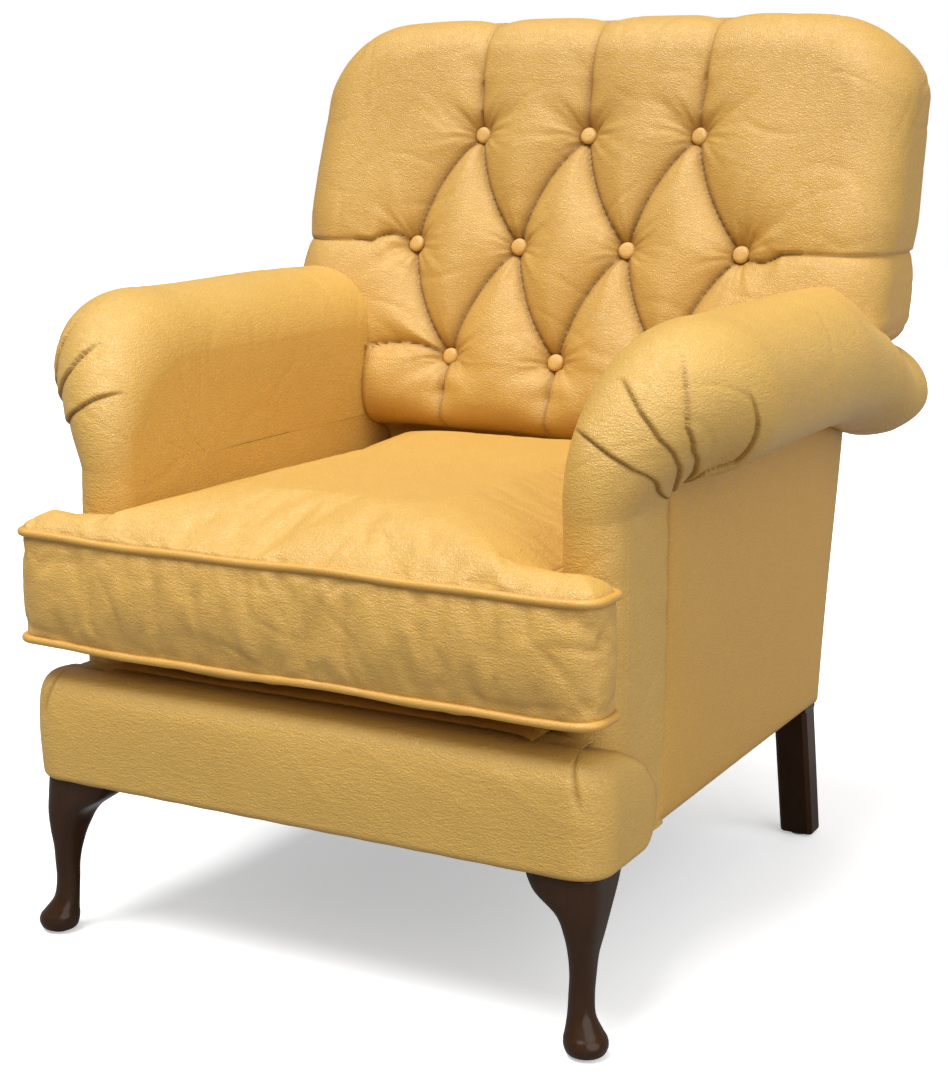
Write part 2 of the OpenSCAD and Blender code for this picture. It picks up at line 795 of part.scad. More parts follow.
front_rail();
rear_rail();
side_rail_left();
side_rail_right();
corner_blocks();
leg_bolts();
front_leg_left();
front_leg_right();
rear_leg_post_left();
rear_leg_post_right();
glides();
arm_post_left();
arm_post_right();
arm_rail_left();
arm_rail_right();
arm_tack_rail_left();
arm_tack_rail_right();
scroll_board_left();
scroll_board_right();
back_top_rail();
back_wing_rail();
back_tack_rail();
seat_webbing();
seat_springs();
spring_hessian();
deck_pad();
deck_cover();
front_edge_pad();
front_border();
back_webbing();
back_pad();
inside_back_cover();
back_buttons();
outside_back();
arm_pad_left();
arm_pad_right();
inside_arm_left();
inside_arm_right();
outside_arm_left();
outside_arm_right();
dust_cover();
cushion_core();
cushion_top_panel();
cushion_bottom_panel();
cushion_boxing();
cushion_piping_top();
cushion_piping_bottom();
cushion_zip();
zip_slider();
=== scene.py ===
import bmesh
import bpy
import numpy as np
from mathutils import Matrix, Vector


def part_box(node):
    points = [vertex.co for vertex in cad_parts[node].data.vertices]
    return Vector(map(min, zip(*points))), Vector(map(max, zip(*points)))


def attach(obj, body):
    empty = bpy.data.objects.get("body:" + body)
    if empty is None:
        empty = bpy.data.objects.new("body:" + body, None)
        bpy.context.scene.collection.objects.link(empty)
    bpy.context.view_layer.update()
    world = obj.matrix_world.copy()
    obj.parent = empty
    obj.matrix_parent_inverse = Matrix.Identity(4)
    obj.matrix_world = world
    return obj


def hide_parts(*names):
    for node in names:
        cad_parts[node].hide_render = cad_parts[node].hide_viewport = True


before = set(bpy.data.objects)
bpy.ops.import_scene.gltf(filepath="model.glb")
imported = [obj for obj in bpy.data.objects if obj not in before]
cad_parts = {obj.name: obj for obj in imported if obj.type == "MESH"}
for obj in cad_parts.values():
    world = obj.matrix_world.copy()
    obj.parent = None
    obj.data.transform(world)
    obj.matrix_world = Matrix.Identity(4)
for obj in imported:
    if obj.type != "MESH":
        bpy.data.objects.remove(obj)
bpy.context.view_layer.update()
chair_scene = bpy.context.scene


# ------------------------------------------------------------------ beech frame
# Rails, posts and boards of steamed beech, glued, dowelled and screwed together. They are
# all under the upholstery, so they stay plain sawn timber, with pores drawn as stretched fibres and
# growth bands.

class Strand:
    """One value in a material's node tree. Arithmetic on it adds Math nodes to the tree."""

    def __init__(self, tree, socket=None):
        self.tree, self.socket = tree, socket

    def node(self, kind, settings=(), inputs=(), out=0):
        """Adds a node, makes its settings, fills its sockets and gives one of its outputs."""
        made = self.tree.nodes.new("ShaderNode" + kind)
        for key, value in dict(settings).items():
            if key == "stops":
                ramp = made.color_ramp
                ramp.elements.remove(ramp.elements[1])
                ramp.elements[0].position, ramp.elements[0].color = value[0][0], (*value[0][1], 1)
                for at, colour in value[1:]:
                    ramp.elements.new(at).color = (*colour, 1)
            else:
                setattr(made, key, value)
        for key, value in dict(inputs).items():
            if isinstance(value, Strand):
                self.tree.links.new(value.socket, made.inputs[key])
            else:
                made.inputs[key].default_value = value
        return Strand(self.tree, made.outputs[out])

    def maths(self, operation, *values):
        return self.node("Math", {"operation": operation}, dict(enumerate(values)))

    def tint(self, amount, first, second):
        """Colour that goes from first to second as amount goes from 0 to 1."""
        ends = {6: first, 7: second}
        ends = {k: v if isinstance(v, Strand) else (*v, 1) for k, v in ends.items()}
        return self.node("Mix", {"data_type": "RGBA"}, {0: amount, **ends}, out=2)

    def __add__(self, other):
        return self.maths("ADD", self, other)

    def __sub__(self, other):
        return self.maths("SUBTRACT", self, other)

    def __rsub__(self, other):
        return self.maths("SUBTRACT", other, self)

    def __mul__(self, other):
        return self.maths("MULTIPLY", self, other)

    __radd__ = __add__
    __rmul__ = __mul__


def new_finish(name, **fixed):
    """A material with one Principled shader, whose unvarying sockets are set from fixed."""
    material = bpy.data.materials.new(name)
    material.use_nodes = True
    shader = material.node_tree.nodes["Principled BSDF"]
    for socket, value in fixed.items():
        shader.inputs[socket.replace("_", " ")].default_value = value
    return material, shader, Strand(material.node_tree)


def feed(shader, strand, **linked):
    """Links strands to the shader's sockets."""
    for socket, value in linked.items():
        strand.tree.links.new(value.socket, shader.inputs[socket.replace("_", " ")])


def paint(node, material):
    """Gives a CAD node its finish."""
    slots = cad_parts[node].data.materials
    if not slots:
        slots.append(material)
    for i in range(len(slots)):
        slots[i] = material


def sawn_timber(name, pale, dark, along):
    """Open-pored timber: fibres are noise stretched along one axis, with growth bands."""
    material, shader, s = new_finish(name, Specular_IOR_Level=0.35)
    where = s.node("TexCoord", out=3)
    stretch = [60.0, 60.0, 60.0]
    stretch["XYZ".index(along)] = 4.0
    fibre_place = s.node("Mapping", {}, {0: where, 3: stretch})
    fibre = s.node("TexNoise", {}, {"Vector": fibre_place, "Scale": 6.0, "Detail": 6.0})
    band_place = s.node("Mapping", {}, {0: where, 3: [v * 0.12 for v in stretch]})
    band = s.node("TexNoise", {}, {"Vector": band_place, "Scale": 4.0, "Detail": 2.0})
    both = fibre * 0.6 + band * 0.5
    feed(shader, s, Base_Color=s.tint(both, dark, pale), Roughness=0.62 + fibre * 0.2,
         Normal=s.node("Bump", {}, {"Strength": 0.3, "Distance": 0.0004, "Height": fibre}))
    return material


beech = {a: sawn_timber("beech_" + a, (0.62, 0.42, 0.25), (0.40, 0.24, 0.12), a) for a in "XYZ"}
for node, along in (
    ("front_rail", "X"), ("rear_rail", "X"), ("side_rail_left", "Y"), ("side_rail_right", "Y"),
    ("corner_blocks", "Z"), ("arm_post_left", "Z"), ("arm_post_right", "Z"),
    ("arm_rail_left", "Y"), ("arm_rail_right", "Y"), ("arm_tack_rail_left", "Y"),
    ("arm_tack_rail_right", "Y"), ("scroll_board_left", "X"), ("scroll_board_right", "X"),
    ("back_top_rail", "X"), ("back_wing_rail", "X"), ("back_tack_rail", "X"),
):
    paint(node, beech[along])


# ------------------------------------------------------------------ bolts, springs and glides
# Zinc-plated leg bolts, oil-tempered steel springs tied to the webbing, and steel glides
# nailed under the feet.

def plated_steel(name, colour, rough):
    """Metal with a faint mottle from noise in its roughness and colour."""
    material, shader, s = new_finish(name, Metallic=1.0)
    where = s.node("TexCoord", out=3)
    mottle = s.node("TexNoise", {}, {"Vector": where, "Scale": 90.0, "Detail": 4.0})
    dark = tuple(c * 0.75 for c in colour)
    feed(shader, s, Base_Color=s.tint(mottle, dark, colour), Roughness=rough + mottle * 0.18)
    return material


paint("leg_bolts", plated_steel("zinc_plate", (0.72, 0.72, 0.70), 0.26))
paint("seat_springs", plated_steel("spring_steel", (0.30, 0.29, 0.28), 0.34))
paint("glides", plated_steel("glide_steel", (0.62, 0.62, 0.62), 0.30))


# ------------------------------------------------------------------ webbing and hessian
# Herringbone jute webbing tacked to the rails, and loose plain-weave hessian over the
# springs.

def jute(name, pale, dark, pitch):
    """Plain weave: waves of the thread pitch along all three axes, with slubs from noise."""
    material, shader, s = new_finish(name, Sheen_Weight=0.3)
    where = s.node("TexCoord", out=3)
    threads = {"Vector": where, "Scale": pitch, "Distortion": 0.6, "Detail": 1.0}
    warp, weft, rise = (s.node("TexWave", {"bands_direction": axis}, threads) for axis in "XYZ")
    slub = s.node("TexNoise", {}, {"Vector": where, "Scale": 55.0, "Detail": 5.0})
    weave = (warp + weft + rise) * 0.25 + slub * 0.35
    feed(shader, s, Base_Color=s.tint(weave, dark, pale), Roughness=0.8 + slub * 0.15,
         Normal=s.node("Bump", {}, {"Strength": 0.6, "Distance": 0.0006, "Height": weave}))
    return material


webbing_jute = jute("webbing_jute", (0.46, 0.30, 0.15), (0.20, 0.12, 0.05), 420.0)
paint("seat_webbing", webbing_jute)
paint("back_webbing", webbing_jute)
paint("spring_hessian", jute("hessian", (0.40, 0.29, 0.16), (0.16, 0.11, 0.05), 260.0))


# ------------------------------------------------------------------ front legs
# Cabriole legs of mahogany with a rounded knee, a slim ankle and a pad foot. A square block
# above the knee is bolted into the corner of the rails. French polished, nearly black.

def mahogany():
    """Polished dark timber: long fibres up the leg and a redder glow where it is worn."""
    material, shader, s = new_finish("polished_mahogany", Specular_IOR_Level=0.22,
                                     Coat_Roughness=0.06, Coat_Weight=0.14)
    where = s.node("TexCoord", out=3)
    fibre_place = s.node("Mapping", {}, {0: where, 3: (90.0, 90.0, 7.0)})
    fibre = s.node("TexNoise", {}, {"Vector": fibre_place, "Scale": 3.0, "Detail": 7.0,
                                    "Distortion": 0.4})
    glow = s.node("TexNoise", {}, {"Vector": where, "Scale": 14.0, "Detail": 3.0})
    timber = s.tint(fibre, (0.004, 0.002, 0.001), (0.028, 0.012, 0.003))
    warm = s.tint(glow * 0.8, timber, (0.060, 0.022, 0.006))
    feed(shader, s, Base_Color=warm, Roughness=0.16 + fibre * 0.16,
         Normal=s.node("Bump", {}, {"Strength": 0.12, "Distance": 0.0004, "Height": fibre}))
    return material


polished_mahogany = mahogany()
border_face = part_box("front_border")[0][1]


def ends(node):
    """Corners of a CAD node in millimetres, with depth measured back from the border's face."""
    shift = np.array([0.0, border_face, 0.0])
    return [(np.array(corner) - shift) * 1000 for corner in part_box(node)]


def grid_faces(rows, cols, close_rows=False, close_cols=False):
    """Quads between neighbouring points of a grid. A closed way joins its end to its start."""
    r = np.arange(rows if close_rows else rows - 1)[:, None]
    c = np.arange(cols if close_cols else cols - 1)[None, :]
    r2, c2 = (r + 1) % rows, (c + 1) % cols
    return np.stack([r * cols + c, r * cols + c2, r2 * cols + c2, r2 * cols + c], -1).reshape(-1, 4)


def make_piece(name, parts, finish, fold=None, weld=True):
    """A mesh from (points, faces) pairs in millimetres from the border's face. Doubled points,
    as at poles and seams, are welded. An optional point attribute holds painted shade for each
    point, from 0 to 1, strongest in creases, seams and hollows, which the hide darkens."""
    points, faces, start = [], [], 0
    for p, f in parts:
        p = np.asarray(p, float).reshape(-1, 3)
        points.append(p)
        faces.append(np.asarray(f) + start)
        start += len(p)
    points, faces = np.concatenate(points), np.concatenate(faces)
    points = points * 0.001 + np.array([0.0, border_face, 0.0])
    mesh = bpy.data.meshes.new(name)
    mesh.vertices.add(len(points))
    mesh.vertices.foreach_set("co", points.ravel())
    mesh.loops.add(faces.size)
    mesh.loops.foreach_set("vertex_index", faces.ravel().astype(np.int32))
    mesh.polygons.add(len(faces))
    mesh.polygons.foreach_set("loop_start", np.arange(0, faces.size, faces.shape[1], dtype=np.int32))
    mesh.update(calc_edges=True)
    if fold is not None:
        # the point attribute that carries painted shade for the hide's material
        depth = mesh.attributes.new("fold", "FLOAT", "POINT")
        depth.data.foreach_set("value", np.concatenate([np.ravel(f) for f in fold]).astype(np.float32))
    if weld:
        work = bmesh.new()
        work.from_mesh(mesh)
        bmesh.ops.remove_doubles(work, verts=work.verts, dist=2e-5)
        bmesh.ops.dissolve_degenerate(work, edges=work.edges, dist=1e-6)
        work.to_mesh(mesh)
        work.free()
    mesh.shade_smooth()
    mesh.materials.append(finish)
    piece = bpy.data.objects.new(name, mesh)
    chair_scene.collection.objects.link(piece)
    return piece


def curve_through(stations, at):
    """Catmull-Rom curve through rows of numbers, read at places from 0 to 1."""
    stations = np.asarray(stations, float)
    last = len(stations) - 1
    u = np.clip(np.asarray(at) * last, 0, last - 1e-9)
    i = np.floor(u).astype(int)
    t = (u - i)[:, None]
    a, b = stations[np.maximum(i - 1, 0)], stations[i]
    c, d = stations[i + 1], stations[np.minimum(i + 2, last)]
    square, cube = 2 * a - 5 * b + 4 * c - d, 3 * b - 3 * c + d - a
    return b + t * (c - a) / 2 + t**2 * square / 2 + t**3 * cube / 2


def squarish(half_x, half_y, square, angle):
    """Closed section between an ellipse, at square 2, and a rectangle, as it rises."""
    c, s = np.cos(angle), np.sin(angle)
    return (half_x * np.sign(c) * np.abs(c) ** (2 / square),
            half_y * np.sign(s) * np.abs(s) ** (2 / square))


def front_leg(side, name, node):
    """Loft of squarish sections: height as a share of the knee's, inset from the side, inset
    from the front, half width, half depth, squareness. Flat lids close the foot and the block."""
    top = ends(node)[1][2]
    out_x = ends("outside_arm_right")[1][0]
    knee = ends("front_border")[0][2]
    sections = np.array([
        [0.012, 0, 16, 13.5, 13.5, 2], [0.02, 0, 16, 16.5, 16.5, 2], [0.035, 0, 16, 18.8, 18.8, 2],
        [0.07, 0, 16, 20.6, 20.6, 2], [0.105, 1, 16.7, 20.0, 20.0, 2], [0.14, 3, 18, 17.4, 17.4, 2],
        [0.22, 7, 21, 13, 13, 2], [0.33, 8, 23, 12, 12, 2], [0.44, 7.5, 24, 11.7, 13.5, 2.2],
        [0.55, 8, 26, 12.5, 17, 2.4], [0.66, 8.5, 29, 15.5, 22, 2.8], [0.78, 12, 33.5, 21, 27.5, 3.3],
        [0.89, 23.5, 41, 32.5, 35, 4.0], [1, 29, 48, 37, 41, 4.6]])
    heights = curve_through(sections, np.linspace(0, 1, 110))
    angle = np.linspace(0, 2 * np.pi, 96, endpoint=False)
    x, y = squarish(heights[:, 3:4], heights[:, 4:5], heights[:, 5:6], angle[None, :])
    leg = np.stack([out_x - heights[:, 1:2] + x, heights[:, 2:3] + y,
                    np.repeat(heights[:, 0:1] * knee, len(angle), 1)], -1)
    block, half_block, eased = [], 23.0, 1.5
    for z, grow in ((knee - 2, 0.0), (knee - 2, 1.0), (top - eased, 1.0), (top, 0.94)):
        bx, by = squarish(half_block * grow, half_block * grow, 16.0, angle)
        block.append(np.stack([out_x - 26.5 + bx, 43.0 + by, np.full_like(bx, z)], -1))
    block = np.array(block + [np.broadcast_to(block[-1].mean(0), block[-1].shape)])
    foot = np.broadcast_to(leg[0].mean(0), leg[:1].shape)
    roof = np.broadcast_to(leg[-1].mean(0), leg[:1].shape)
    leg = np.concatenate([foot, leg, roof])
    parts = []
    for loft in (leg, block):
        loft = loft * np.array([side, 1, 1])
        faces = grid_faces(len(loft), len(angle), close_cols=True)
        parts.append((loft, faces if side > 0 else faces[:, ::-1]))
    piece = make_piece(name, parts, polished_mahogany)
    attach(piece, "chair")
    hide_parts(node)


front_leg(-1, "cabriole_leg_left", "front_leg_left")
front_leg(1, "cabriole_leg_right", "front_leg_right")


# ------------------------------------------------------------------ rear legs
# Square legs in the same dark polish, each sawn from one board with its back post, which is
# hidden in the upholstery. They are chamfered below the rails, and the foot kicks out behind.

def rear_leg(side, name, node):
    """A chamfered square carried along the bend: foot, seat rails, top of the post."""
    low, high = ends(node)
    half_w = (high[0] - low[0]) / 2
    mid_x = (high[0] + low[0]) / 2
    bend = ends("front_border")[0][2]
    rear_at_foot, rear_at_bend, thin, thick = 674.0, 636.95, 33.0, 35.0
    z = np.concatenate([[low[2], low[2] + 0.8, low[2] + 4], np.linspace(low[2] + 10, bend - 22, 26),
                        np.linspace(bend - 18, bend + 18, 13), np.linspace(bend + 30, high[2], 40)])
    climbed = (z - low[2]) / (bend - low[2])
    back_line = rear_at_bend + np.tan(np.radians(10)) * (z - bend)
    rear = np.where(z < bend, rear_at_foot - climbed * (rear_at_foot - rear_at_bend), back_line)
    deep = np.where(z < bend, thin + (thick - thin) * climbed, thick)
    chamfer = np.where(z < bend - 4, 4.6, 1.2)
    chamfer[:2] = (2.5, 4.0)
    trim = np.zeros_like(z)
    trim[0], trim[1] = 1.6, 0.5
    ring = []
    for sx, sy, turn in ((1, 1, 0), (1, 1, 1), (-1, 1, 1), (-1, 1, 0), (-1, -1, 0), (-1, -1, 1),
                         (1, -1, 1), (1, -1, 0)):
        dx = half_w - trim - (chamfer if turn else 0)
        dy = deep / 2 - trim - (0 if turn else chamfer)
        ring.append(np.stack([mid_x + sx * dx, rear - deep / 2 + sy * dy, z], -1))
    loft = np.stack(ring, 1)
    lids = [np.broadcast_to(loft[k].mean(0), loft[k].shape)[None] for k in (0, -1)]
    loft = np.concatenate([lids[0], loft, lids[1]])
    faces = grid_faces(len(loft), loft.shape[1], close_cols=True)
    piece = make_piece(name, [(loft, faces)], polished_mahogany)
    round_edges = piece.modifiers.new("eased edges", "BEVEL")
    round_edges.width, round_edges.segments, round_edges.limit_method = 0.0012, 2, "ANGLE"
    round_edges.angle_limit = np.radians(25)
    round_edges.harden_normals = True
    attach(piece, "chair")
    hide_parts(node)


rear_leg(-1, "rear_leg_left", "rear_leg_post_left")
rear_leg(1, "rear_leg_right", "rear_leg_post_right")


# ------------------------------------------------------------------ front border
# Leather over a stuffed front edge. It wraps round both corners of the base, is pulled under
# the front rail and tacked there, and its two ends are sewn to the arms along a curve.

def hide(name, tone, grain=1.0, crease=1.0):
    """Semi-aniline hide: pebbled grain from cells, fine drawn wrinkles, a slow drift of colour,
    and painted shade: darker where the piece's own point attribute marks creases, seams and hollows."""
    material, shader, s = new_finish(name, Specular_IOR_Level=0.75, Sheen_Weight=0.03,
                                     Sheen_Roughness=0.45)
    where = s.node("TexCoord", out=3)
    drift = s.node("TexNoise", {}, {"Vector": where, "Scale": 5.0, "Detail": 3.0,
                                    "Roughness": 0.55})
    patch = s.node("TexNoise", {}, {"Vector": where, "Scale": 34.0, "Detail": 4.0})
    bend = s.node("TexNoise", {}, {"Vector": where, "Scale": 60.0, "Detail": 2.0}, out=1)
    bent = s.node("Mix", {"data_type": "VECTOR"}, {0: 0.012, 4: where, 5: bend}, out=1)
    pebble = s.node("TexVoronoi", {"feature": "DISTANCE_TO_EDGE"},
                    {"Vector": bent, "Scale": 390.0})
    small = s.node("TexVoronoi", {"feature": "DISTANCE_TO_EDGE"},
                   {"Vector": bent, "Scale": 900.0})
    pore = s.node("TexNoise", {}, {"Vector": where, "Scale": 900.0, "Detail": 4.0})
    drawn_place = s.node("Mapping", {}, {0: where, 3: (1.0, 1.0, 3.2)})
    drawn = s.node("TexNoise", {}, {"Vector": drawn_place, "Scale": 95.0, "Detail": 5.0,
                                    "Distortion": 1.2})
    fold = s.node("Attribute", {"attribute_name": "fold"}, out=2)
    raised = s.maths("MINIMUM", pebble * 3.0, 1.0)
    fine = s.maths("MINIMUM", small * 3.0, 1.0)
    light = tuple(min(1.0, c * 1.08) for c in tone)
    deep = (tone[0] * 0.90, tone[1] * 0.87, tone[2] * 0.80)
    # tan is a darker shade of the hide: the grain's valleys take a little of it, and the painted shade of
    # creases, seams and hollows takes more
    tan = (tone[0] * 0.45, tone[1] * 0.36, tone[2] * 0.25)
    base = s.tint(drift * 0.7 + patch * 0.3, deep, light)
    base = s.tint((1.0 - raised) * 0.20, base, tan)
    # painted shade: creases, seams and hollows darkened towards tan by the piece's point attribute
    base = s.tint(fold * 0.85, base, tan)
    relief = raised * 0.5 + fine * 0.2 + pore * 0.2 + drawn * 2.4 * crease
    bump = s.node("Bump", {}, {"Strength": 0.55 * grain, "Distance": 0.0011, "Height": relief})
    feed(shader, s, Base_Color=base, Normal=bump,
         Roughness=0.32 + patch * 0.12 + (1.0 - raised) * 0.08 + fold * 0.14)
    return material


ochre_hide = hide("ochre_hide", (0.705, 0.430, 0.092), crease=0.8)
panel_hide = hide("ochre_hide_flat", (0.695, 0.385, 0.060), grain=0.8, crease=0.6)


def creases(a, b, seed):
    """Short drawn creases in the hide: six bent gratings of narrow valleys, each present only
    where a slower product of sines is high. From 0 down to about -1."""
    total = np.zeros_like(a)
    for k in range(6):
        turn = 0.9 * k + seed
        across = (a * np.cos(turn) + b * np.sin(turn)) / (10.0 + 2.4 * k)
        across = across + 1.1 * np.sin(a / 31 + k) + 0.9 * np.sin(b / 27 + 2 * k)
        slower = np.sin(a / (38 + 5 * k) + 1.7 * k + seed) * np.sin(b / (33 + 4 * k) + 2.3 * k)
        present = np.clip(slower - 0.1, 0, 1)
        total = total - present * np.exp(-(np.sin(across / 2) / 0.22) ** 2)
    return total


def front_border():
    """The plan of the base's front carried up a profile: tucked under, up a swelling face and
    over a soft top edge. Along the plan the height of the top falls away on each side."""
    low, high = ends("front_border")
    half, wrap, z0, z1 = high[0], high[1], low[2], high[2]
    corner, drawn_height = 36.0, 114.0
    straight, side_run = half - corner, wrap - corner + 14
    bend = corner * np.pi / 2
    total = straight + bend + side_run
    u = np.concatenate([np.linspace(-total, -straight, 120), np.linspace(-straight, straight, 240)[1:],
                        np.linspace(straight, total, 120)[1:]])
    a = np.abs(u)
    turn = np.clip((a - straight) / corner, 0, np.pi / 2)
    plan_x = np.minimum(a, straight) + corner * np.sin(turn)
    plan_y = corner * (1 - np.cos(turn)) + np.maximum(a - straight - bend, 0)
    out_x, out_y = np.sin(turn), -np.cos(turn)
    # height profile: outward set and height for each row, from the tuck under to the deck
    rows = np.array([[-70, 0.4], [-34, -0.6], [-14, -1.0], [-7.5, -0.4], [-3.2, 2.0], [-1.0, 6.0],
                     [-0.3, 14], [0.4, 26], [1.2, 42], [1.6, 58], [1.2, 74], [0.0, 87],
                     [-2.6, 96.5], [-6.6, 103.5], [-12.4, 108.6], [-20.5, 111.8], [-32, 113.4],
                     [-52, 114.0], [-76, 113.2]])
    p = curve_through(rows, np.linspace(0, 1, 96))
    set_out, rise = p[:, :1], p[:, 1:] * (z1 - z0) / drawn_height
    face = np.clip((rise - 6) / 80, 0, 1) * np.clip((z1 - z0 - 4 - rise) / 20, 0, 1)
    x = np.sign(u) * plan_x + np.sign(u) * out_x * set_out
    y = plan_y + out_y * set_out
    # the ends: on each side the border is sewn off along a curve that runs back as it drops
    end_y = np.interp(rise[:, 0], [0, 12, 26, 42, 60, 84, 96, 106, 112, 114],
                      [114, 125, 131, 131, 125, 103, 84, 64, 40, 30])[:, None]
    over = np.clip(y - end_y, 0, None)
    side = np.clip((a - straight) / bend, 0, 1)
    y = y - over * side
    x = x - np.sign(u) * np.clip(over, 0, 22) * 0.9 * side
    seam = np.exp(-(np.clip(end_y - y, 0, None) / 7.0) ** 1.4) * side
    x = x - np.sign(u) * seam * 4.5
    # a slow unevenness, a pleat taken in at each corner and the pull of the tacks underneath
    y = y + out_y * 0.9 * face * np.sin(u / 61.0 + 0.7) * np.cos(rise / 31)
    dart = np.exp(-((a - (straight + 4 + (z1 - z0 - rise) * 0.22)) / 3.2) ** 2)
    dart = dart * np.clip((rise - 62) / 18, 0, 1) * np.clip((z1 - z0 + 2 - rise) / 6, 0, 1)
    x = x - np.sign(u) * out_x * dart * 2.6
    y = y - out_y * dart * 2.6
    points = np.stack([x, y, z0 + rise + 0 * x], -1)
    under = np.clip((8 - rise) / 8, 0, 1) * (0.5 + 0.5 * np.sin(u / 7.5)) * 0.7
    points[..., 2] += under * np.clip(-set_out / 10, 0, 1)
    points[..., 1] -= creases(u * 0.7, rise, 0.9) * out_y * 0.7 * face
    # painted shade: the sewn ends, the corner darts and the tuck underneath are darkened through the
    # hide's point attribute
    fold = np.clip(seam * 0.8 + dart * 0.5 + under * 0.1, 0, 1)
    return points, fold


points, fold = front_border()
border = make_piece("front_border_leather", [(points, grid_faces(*points.shape[:2])[:, ::-1])],
                    ochre_hide, fold=[fold])
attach(border, "chair")
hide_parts("front_border", "front_edge_pad")


# ------------------------------------------------------------------ inside back
# One hide drawn over deep stuffing and buttoned through in rows of three, four and three. Its
# fullness is folded into pleats between the buttons and out to the edges, and it rolls over
# the top and round the sides to a seam at the outside back.

face_lean, rear_lean = np.radians(18), np.radians(10)
back_high = ends("inside_back_cover")[1]
button_low, button_high = ends("back_buttons")
arm_low, arm_high = ends("inside_arm_right")
deck_high = ends("deck_cover")[1][2]


def face_line(z):
    """Depth of the face at a height: a line leaning back 18 degrees."""
    return 564.0 + np.tan(face_lean) * (z - 648.0)


def rear_line(z):
    """Depth of the outside back at a height: a line leaning back 10 degrees."""
    return 640.0 + np.tan(rear_lean) * (z - 166.0)


gap_x = (button_high[0] - button_low[0] - 21.0) / 3
gap_z = 127.0
low_row = 556.0
buttons = np.array([[(i - (n - 1) / 2) * gap_x, low_row + row * gap_z]
                    for row, n in enumerate((3, 4, 3)) for i in range(n)])
# each pleat: ends in the sheet, depth at its start, middle and end, width, and overlap
pleats = []
for x, z in buttons:
    for dx in (-gap_x / 2, gap_x / 2):
        if z > low_row + 1 and abs(x + dx) < 1.6 * gap_x and np.any(
                np.all(np.abs(buttons - (x + dx, z - gap_z)) < 1, axis=1)):
            pleats.append((x, z, x + dx, z - gap_z, 27, 19.5, 27, 64, 2.2))
top_z, low_z = low_row + 2 * gap_z, low_row
for x in (-gap_x, 0.0, gap_x):
    pleats.append((x, top_z, x * 1.03, top_z + 62, 27, 17, 12, 56, 2.0))
    pleats.append((x * 1.03, top_z + 62, x * 1.05, top_z + 240, 12, 7.5, 4.5, 46, 1.5))
    pleats.append((x, low_z, x * 0.99, low_z - 88, 27, 17, 11, 54, 2.0))
for s in (-1, 1):
    pleats.append((s * 1.5 * gap_x, top_z - gap_z, s * 258, top_z - gap_z - 1, 27, 15, 9, 52, -2.0))
    pleats.append((s * 258, top_z - gap_z - 1, s * 470, top_z - gap_z - 6, 9, 6, 4.5, 42, -1.8))
    pleats.append((s * gap_x, low_z, s * 246, low_z + 1, 27, 13, 6, 48, 1.6))
pleats = np.array(pleats)


def tufting(x, z):
    """Depth of the hide behind its face. Every pleat is a cusp whose walls round up into the
    pillows beside it, and where pleats crowd together their distances are summed as inverse
    sixth powers. Buttons pull funnels, from which fans of wrinkles spread."""
    weight, depth, lap = 0, 0, 0
    for x0, z0, x1, z1, d0, dm, d1, width, over in pleats:
        along = np.array([x1 - x0, z1 - z0])
        length = np.hypot(*along)
        t = np.clip(((x - x0) * along[0] + (z - z0) * along[1]) / length**2, 0, 1)
        bow = 9.0 * np.sin(np.pi * t) * (length < 150) * (abs(along[0]) > 30)
        off = ((x - x0) * along[1] - (z - z0) * along[0]) / length - bow
        past_end = np.hypot(x - x0 - t * along[0], z - z0 - t * along[1]) - np.abs(off + bow)
        away = np.maximum(np.hypot(off, past_end), 0.35)
        deep = dm + np.where(t < 0.5, d0 - dm, d1 - dm) * np.abs(1 - 2 * t) ** 2.2
        w = (away / width) ** -6.0
        weight = weight + w
        depth = depth + w * deep
        facing = along[1] if abs(along[1]) > abs(along[0]) * 0.2 else along[0]
        lap = lap + over * np.sign(off * facing) * np.exp(-away / 7.0)
    near = weight ** (-1 / 6.0)
    deep = depth / weight
    crack = 3.4 * np.exp(-near * 60 / 2.4) * np.clip(deep / 12, 0.3, 1)
    cusp = deep * np.clip(1 - near, 0, 1) ** 2.1 + crack
    funnel, fan = 0, 0
    for k, (bx, bz) in enumerate(buttons):
        r = np.hypot(x - bx, z - bz)
        turn = np.arctan2(z - bz, x - bx)
        funnel = np.maximum(funnel, 30.0 * np.exp(-(np.clip(r - 7.0, 0, None) / 18.0) ** 1.1))
        reach = np.exp(-np.clip(r - 13, 0, None) / (17 + 6 * np.sin(2 * turn + k)))
        reach = reach * np.clip((r - 10) / 5, 0, 1)
        wide, narrow = np.sin(13 * turn + 1.7 * k + r / 17), np.sin(21 * turn + 2.9 * k - r / 23)
        fan = fan + reach * (1.1 * wide + 0.8 * narrow)
    hollow = (cusp**4 + funnel**4) ** 0.25
    # painted shade: darker along the cracks of the pleats and in the deepest hollows round the buttons
    fold = np.exp(-near * 60 / 3.0) * np.clip(deep / 14, 0.25, 1) + 0.35 * (hollow / 27) ** 3
    fold = np.clip(fold, 0, 1)
    return hollow - lap + fan - 1.0 * creases(x * 1.1, z * 1.1, 1.3), fold


